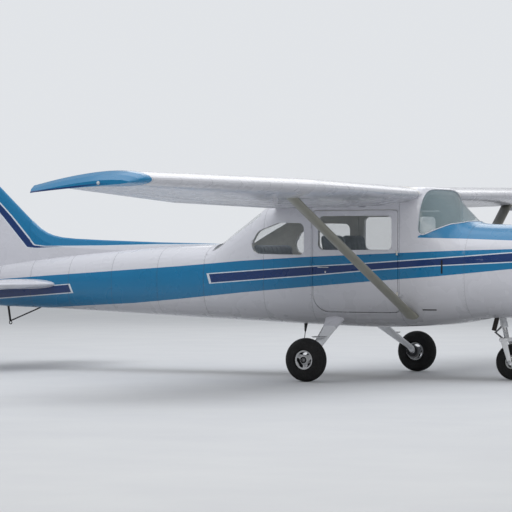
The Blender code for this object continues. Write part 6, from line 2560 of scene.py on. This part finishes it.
class SmallParts:
    """Lamps, vents, caps, covers, the aerial and the tail's tie-down."""

    # inspection covers: places along the span, share of the chord and radius; the fuel cap's place and share
    COVERS = (1.35, 1.85, 2.95, 3.45, 3.95, 4.45, 4.95)
    COVER_SHARE = 0.45
    COVER_RADIUS = 0.062
    CAP_PLACE = (0.98, 0.36)
    STEP = 0.01
    # the beacon's dome: radius, ribs and the rise from one rib to the next
    DOME_RADIUS = 0.0222
    RIBS = 9
    RIB_RISE = 0.0042

    def vents(self) -> None:
        """The slots in the fuselage's sides: near-black plates as painted shade in each opening, each inside a thin
        frame.
        """
        slots, frames = [], []
        for s in (-1, 1):
            slots.append(skin_plate((0.3605, 0.3775), (1.057, 1.191), s, 0.0016))
            frames.append(skin_plate((0.3565, 0.3815), (1.053, 1.195), s, 0.0010))
            slots.append(skin_plate((0.443, 0.585), (0.6925, 0.7035), s, 0.0016))
        fit("vent_slots", slots, Body.AIRFRAME, "inlet_black")
        fit("vent_frames", frames, Body.AIRFRAME, "hull_enamel")

    def wing_covers(self) -> None:
        """Fuel caps above, and round inspection covers below."""
        covers, caps = [], []
        for side in Side:
            wing = SurfaceForm("wing", WING_ROWS, WING_CAMBER, side.value)
            for y in self.COVERS:
                here, _, normal = wing.skin_axes(y, self.COVER_SHARE, False, self.STEP)
                covers.append(bar(here - normal * 0.002, here + normal * 0.0012, self.COVER_RADIUS, 48, 0.0, 0.061))
            here, _, normal = wing.skin_axes(*self.CAP_PLACE, True, self.STEP)
            caps += [bar(here - normal * 0.003, here + normal * 0.004, 0.052, 48, 0.001, 0.049),
                     bar(here, here + normal * 0.009, 0.038, 48, 0.002, 0.036),
                     block(here + Vector((-0.026, -0.005, 0.006)), here + Vector((0.026, 0.005, 0.013)), 0.002)]
        fit("inspection_covers", covers, Body.AIRFRAME, "wing_enamel")
        fit("fuel_caps", caps, Body.AIRFRAME, "dull_steel")

    def navigation_lamps(self) -> None:
        """At each wing tip a coloured bulb under a clear streamlined cover, on a thin base."""
        # kind, finish, whether its profile is closed, profile
        parts = (("cover", "clear_lens", True, ((0.0152, 0.0), (0.0150, 0.006), (0.0132, 0.0125), (0.0095, 0.018),
                                                (0.0045, 0.0212), (0.0, 0.0216), (0.0, 0.0202), (0.0042, 0.0198),
                                                (0.0086, 0.0168), (0.012, 0.012), (0.0136, 0.006), (0.0138, 0.0))),
                 ("base", "dull_steel", False, ((0.0, 0.0), (0.0160, 0.0), (0.0160, 0.0022), (0.0152, 0.0030),
                                                (0.0, 0.0030))),
                 ("bulb", "", False, ((0.0, 0.003), (0.0088, 0.003), (0.0088, 0.0105), (0.0062, 0.0148),
                                      (0.0, 0.0165))))
        for side, colour in ((Side.PORT, "red_lens"), (Side.STARBOARD, "green_lens")):
            low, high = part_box("navigation_lamp_" + side.word)
            root = Vector(((low[0] + high[0]) / 2, low[1] if side is Side.PORT else high[1], (low[2] + high[2]) / 2))
            place = Matrix.Translation(root) @ Matrix.Diagonal((1, side.value, 1, 1))
            for kind, finish, closed, profile in parts:
                lens = moved(spun(profile, (0, 0, 0), "Y", 32 if kind == "bulb" else 40, closed), place)
                fit("navigation_%s_%s" % (kind, side.word), lens, Body.AIRFRAME, finish or colour,
                    ("navigation_lamp_" + side.word,) if kind == "cover" else ())

    def beacon(self) -> None:
        """The ribbed red dome on the rudder's balance, on its metal ring."""
        low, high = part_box("beacon")
        foot = Vector(((low[0] + high[0]) / 2, 0, low[2]))
        dome = [(0.0, 0.004), (self.DOME_RADIUS, 0.004)]
        for number in range(self.RIBS):
            radius, z = self.DOME_RADIUS - 0.000315 * number, 0.006 + self.RIB_RISE * number
            dome += [(radius, z), (radius - 0.0008, z + self.RIB_RISE / 2)]
        dome += [(0.0172, 0.0462), (0.0135, 0.0508), (0.0075, 0.0536), (0.0, 0.0545)]
        fit("beacon_dome", spun(dome, foot, "Z", 48), Body.RUDDER, "red_lens", ("beacon",))
        ring = [(0.0, -0.004), (0.0240, -0.004), (0.0240, 0.0045), (0.0225, 0.0062), (0.0, 0.0062)]
        fit("beacon_ring", spun(ring, foot, "Z", 48), Body.RUDDER, "dull_steel")

    def tail_fittings(self) -> None:
        """The tie-down post with its ring and stay under the tail, and the aerial under the cabin."""
        top, foot = at(5.825, 0, 0.72), at(5.785, 0, 0.470)
        post = bar(top, foot.lerp(top, 0.14), 0.0118, 32, 0.0015)
        eye = foot.lerp(top, 0.085)
        ring = tube([(eye.x + 0.0165 * math.cos(a), 0, eye.z + 0.0165 * math.sin(a))
                     for a in (math.radians(15 * i) for i in range(24))], 0.0050, 3, True, False)
        stay = bar(at(5.27, 0, 0.71), foot.lerp(top, 0.16), 0.0072)
        collar = spun([(0.0, 0.0), (0.024, 0.0), (0.024, 0.003), (0.013, 0.010), (0.0, 0.010)], foot.lerp(top, 0.80),
                      "Z", 32)
        fit("tail_tie_down_fitting", [post, ring, stay, collar], Body.AIRFRAME, "hub_iron", ("tail_tie_down",),
            "painted_steel")
        mast = bar(at(2.055, -0.20, 0.386), at(2.03, -0.20, 0.60), 0.0034, end_radius=0.0062)
        boot = bar(at(2.047, -0.20, 0.455), at(2.031, -0.20, 0.605), 0.0085, 28, 0.002, 0.0265)
        fit("belly_aerial_mast", [mast, boot], Body.AIRFRAME, "panel_black", ("belly_aerial",))

    def build(self) -> None:
        """All of them."""
        self.vents()
        self.wing_covers()
        self.navigation_lamps()
        self.beacon()
        self.tail_fittings()


def main() -> None:
    """Builds the studio and every sub-assembly in order."""
    logging.basicConfig(level=logging.INFO, format="%(message)s")
    for kind in (Studio, Airframe, FlyingSurfaces, MainGear, NoseGear, Propeller, Cowling, Cabin, WindowSeals,
                 DoorFurniture, Struts, ControlBeads, SmallParts, CarriedOver):
        kind().build()


if __name__ == "__main__":
    main()
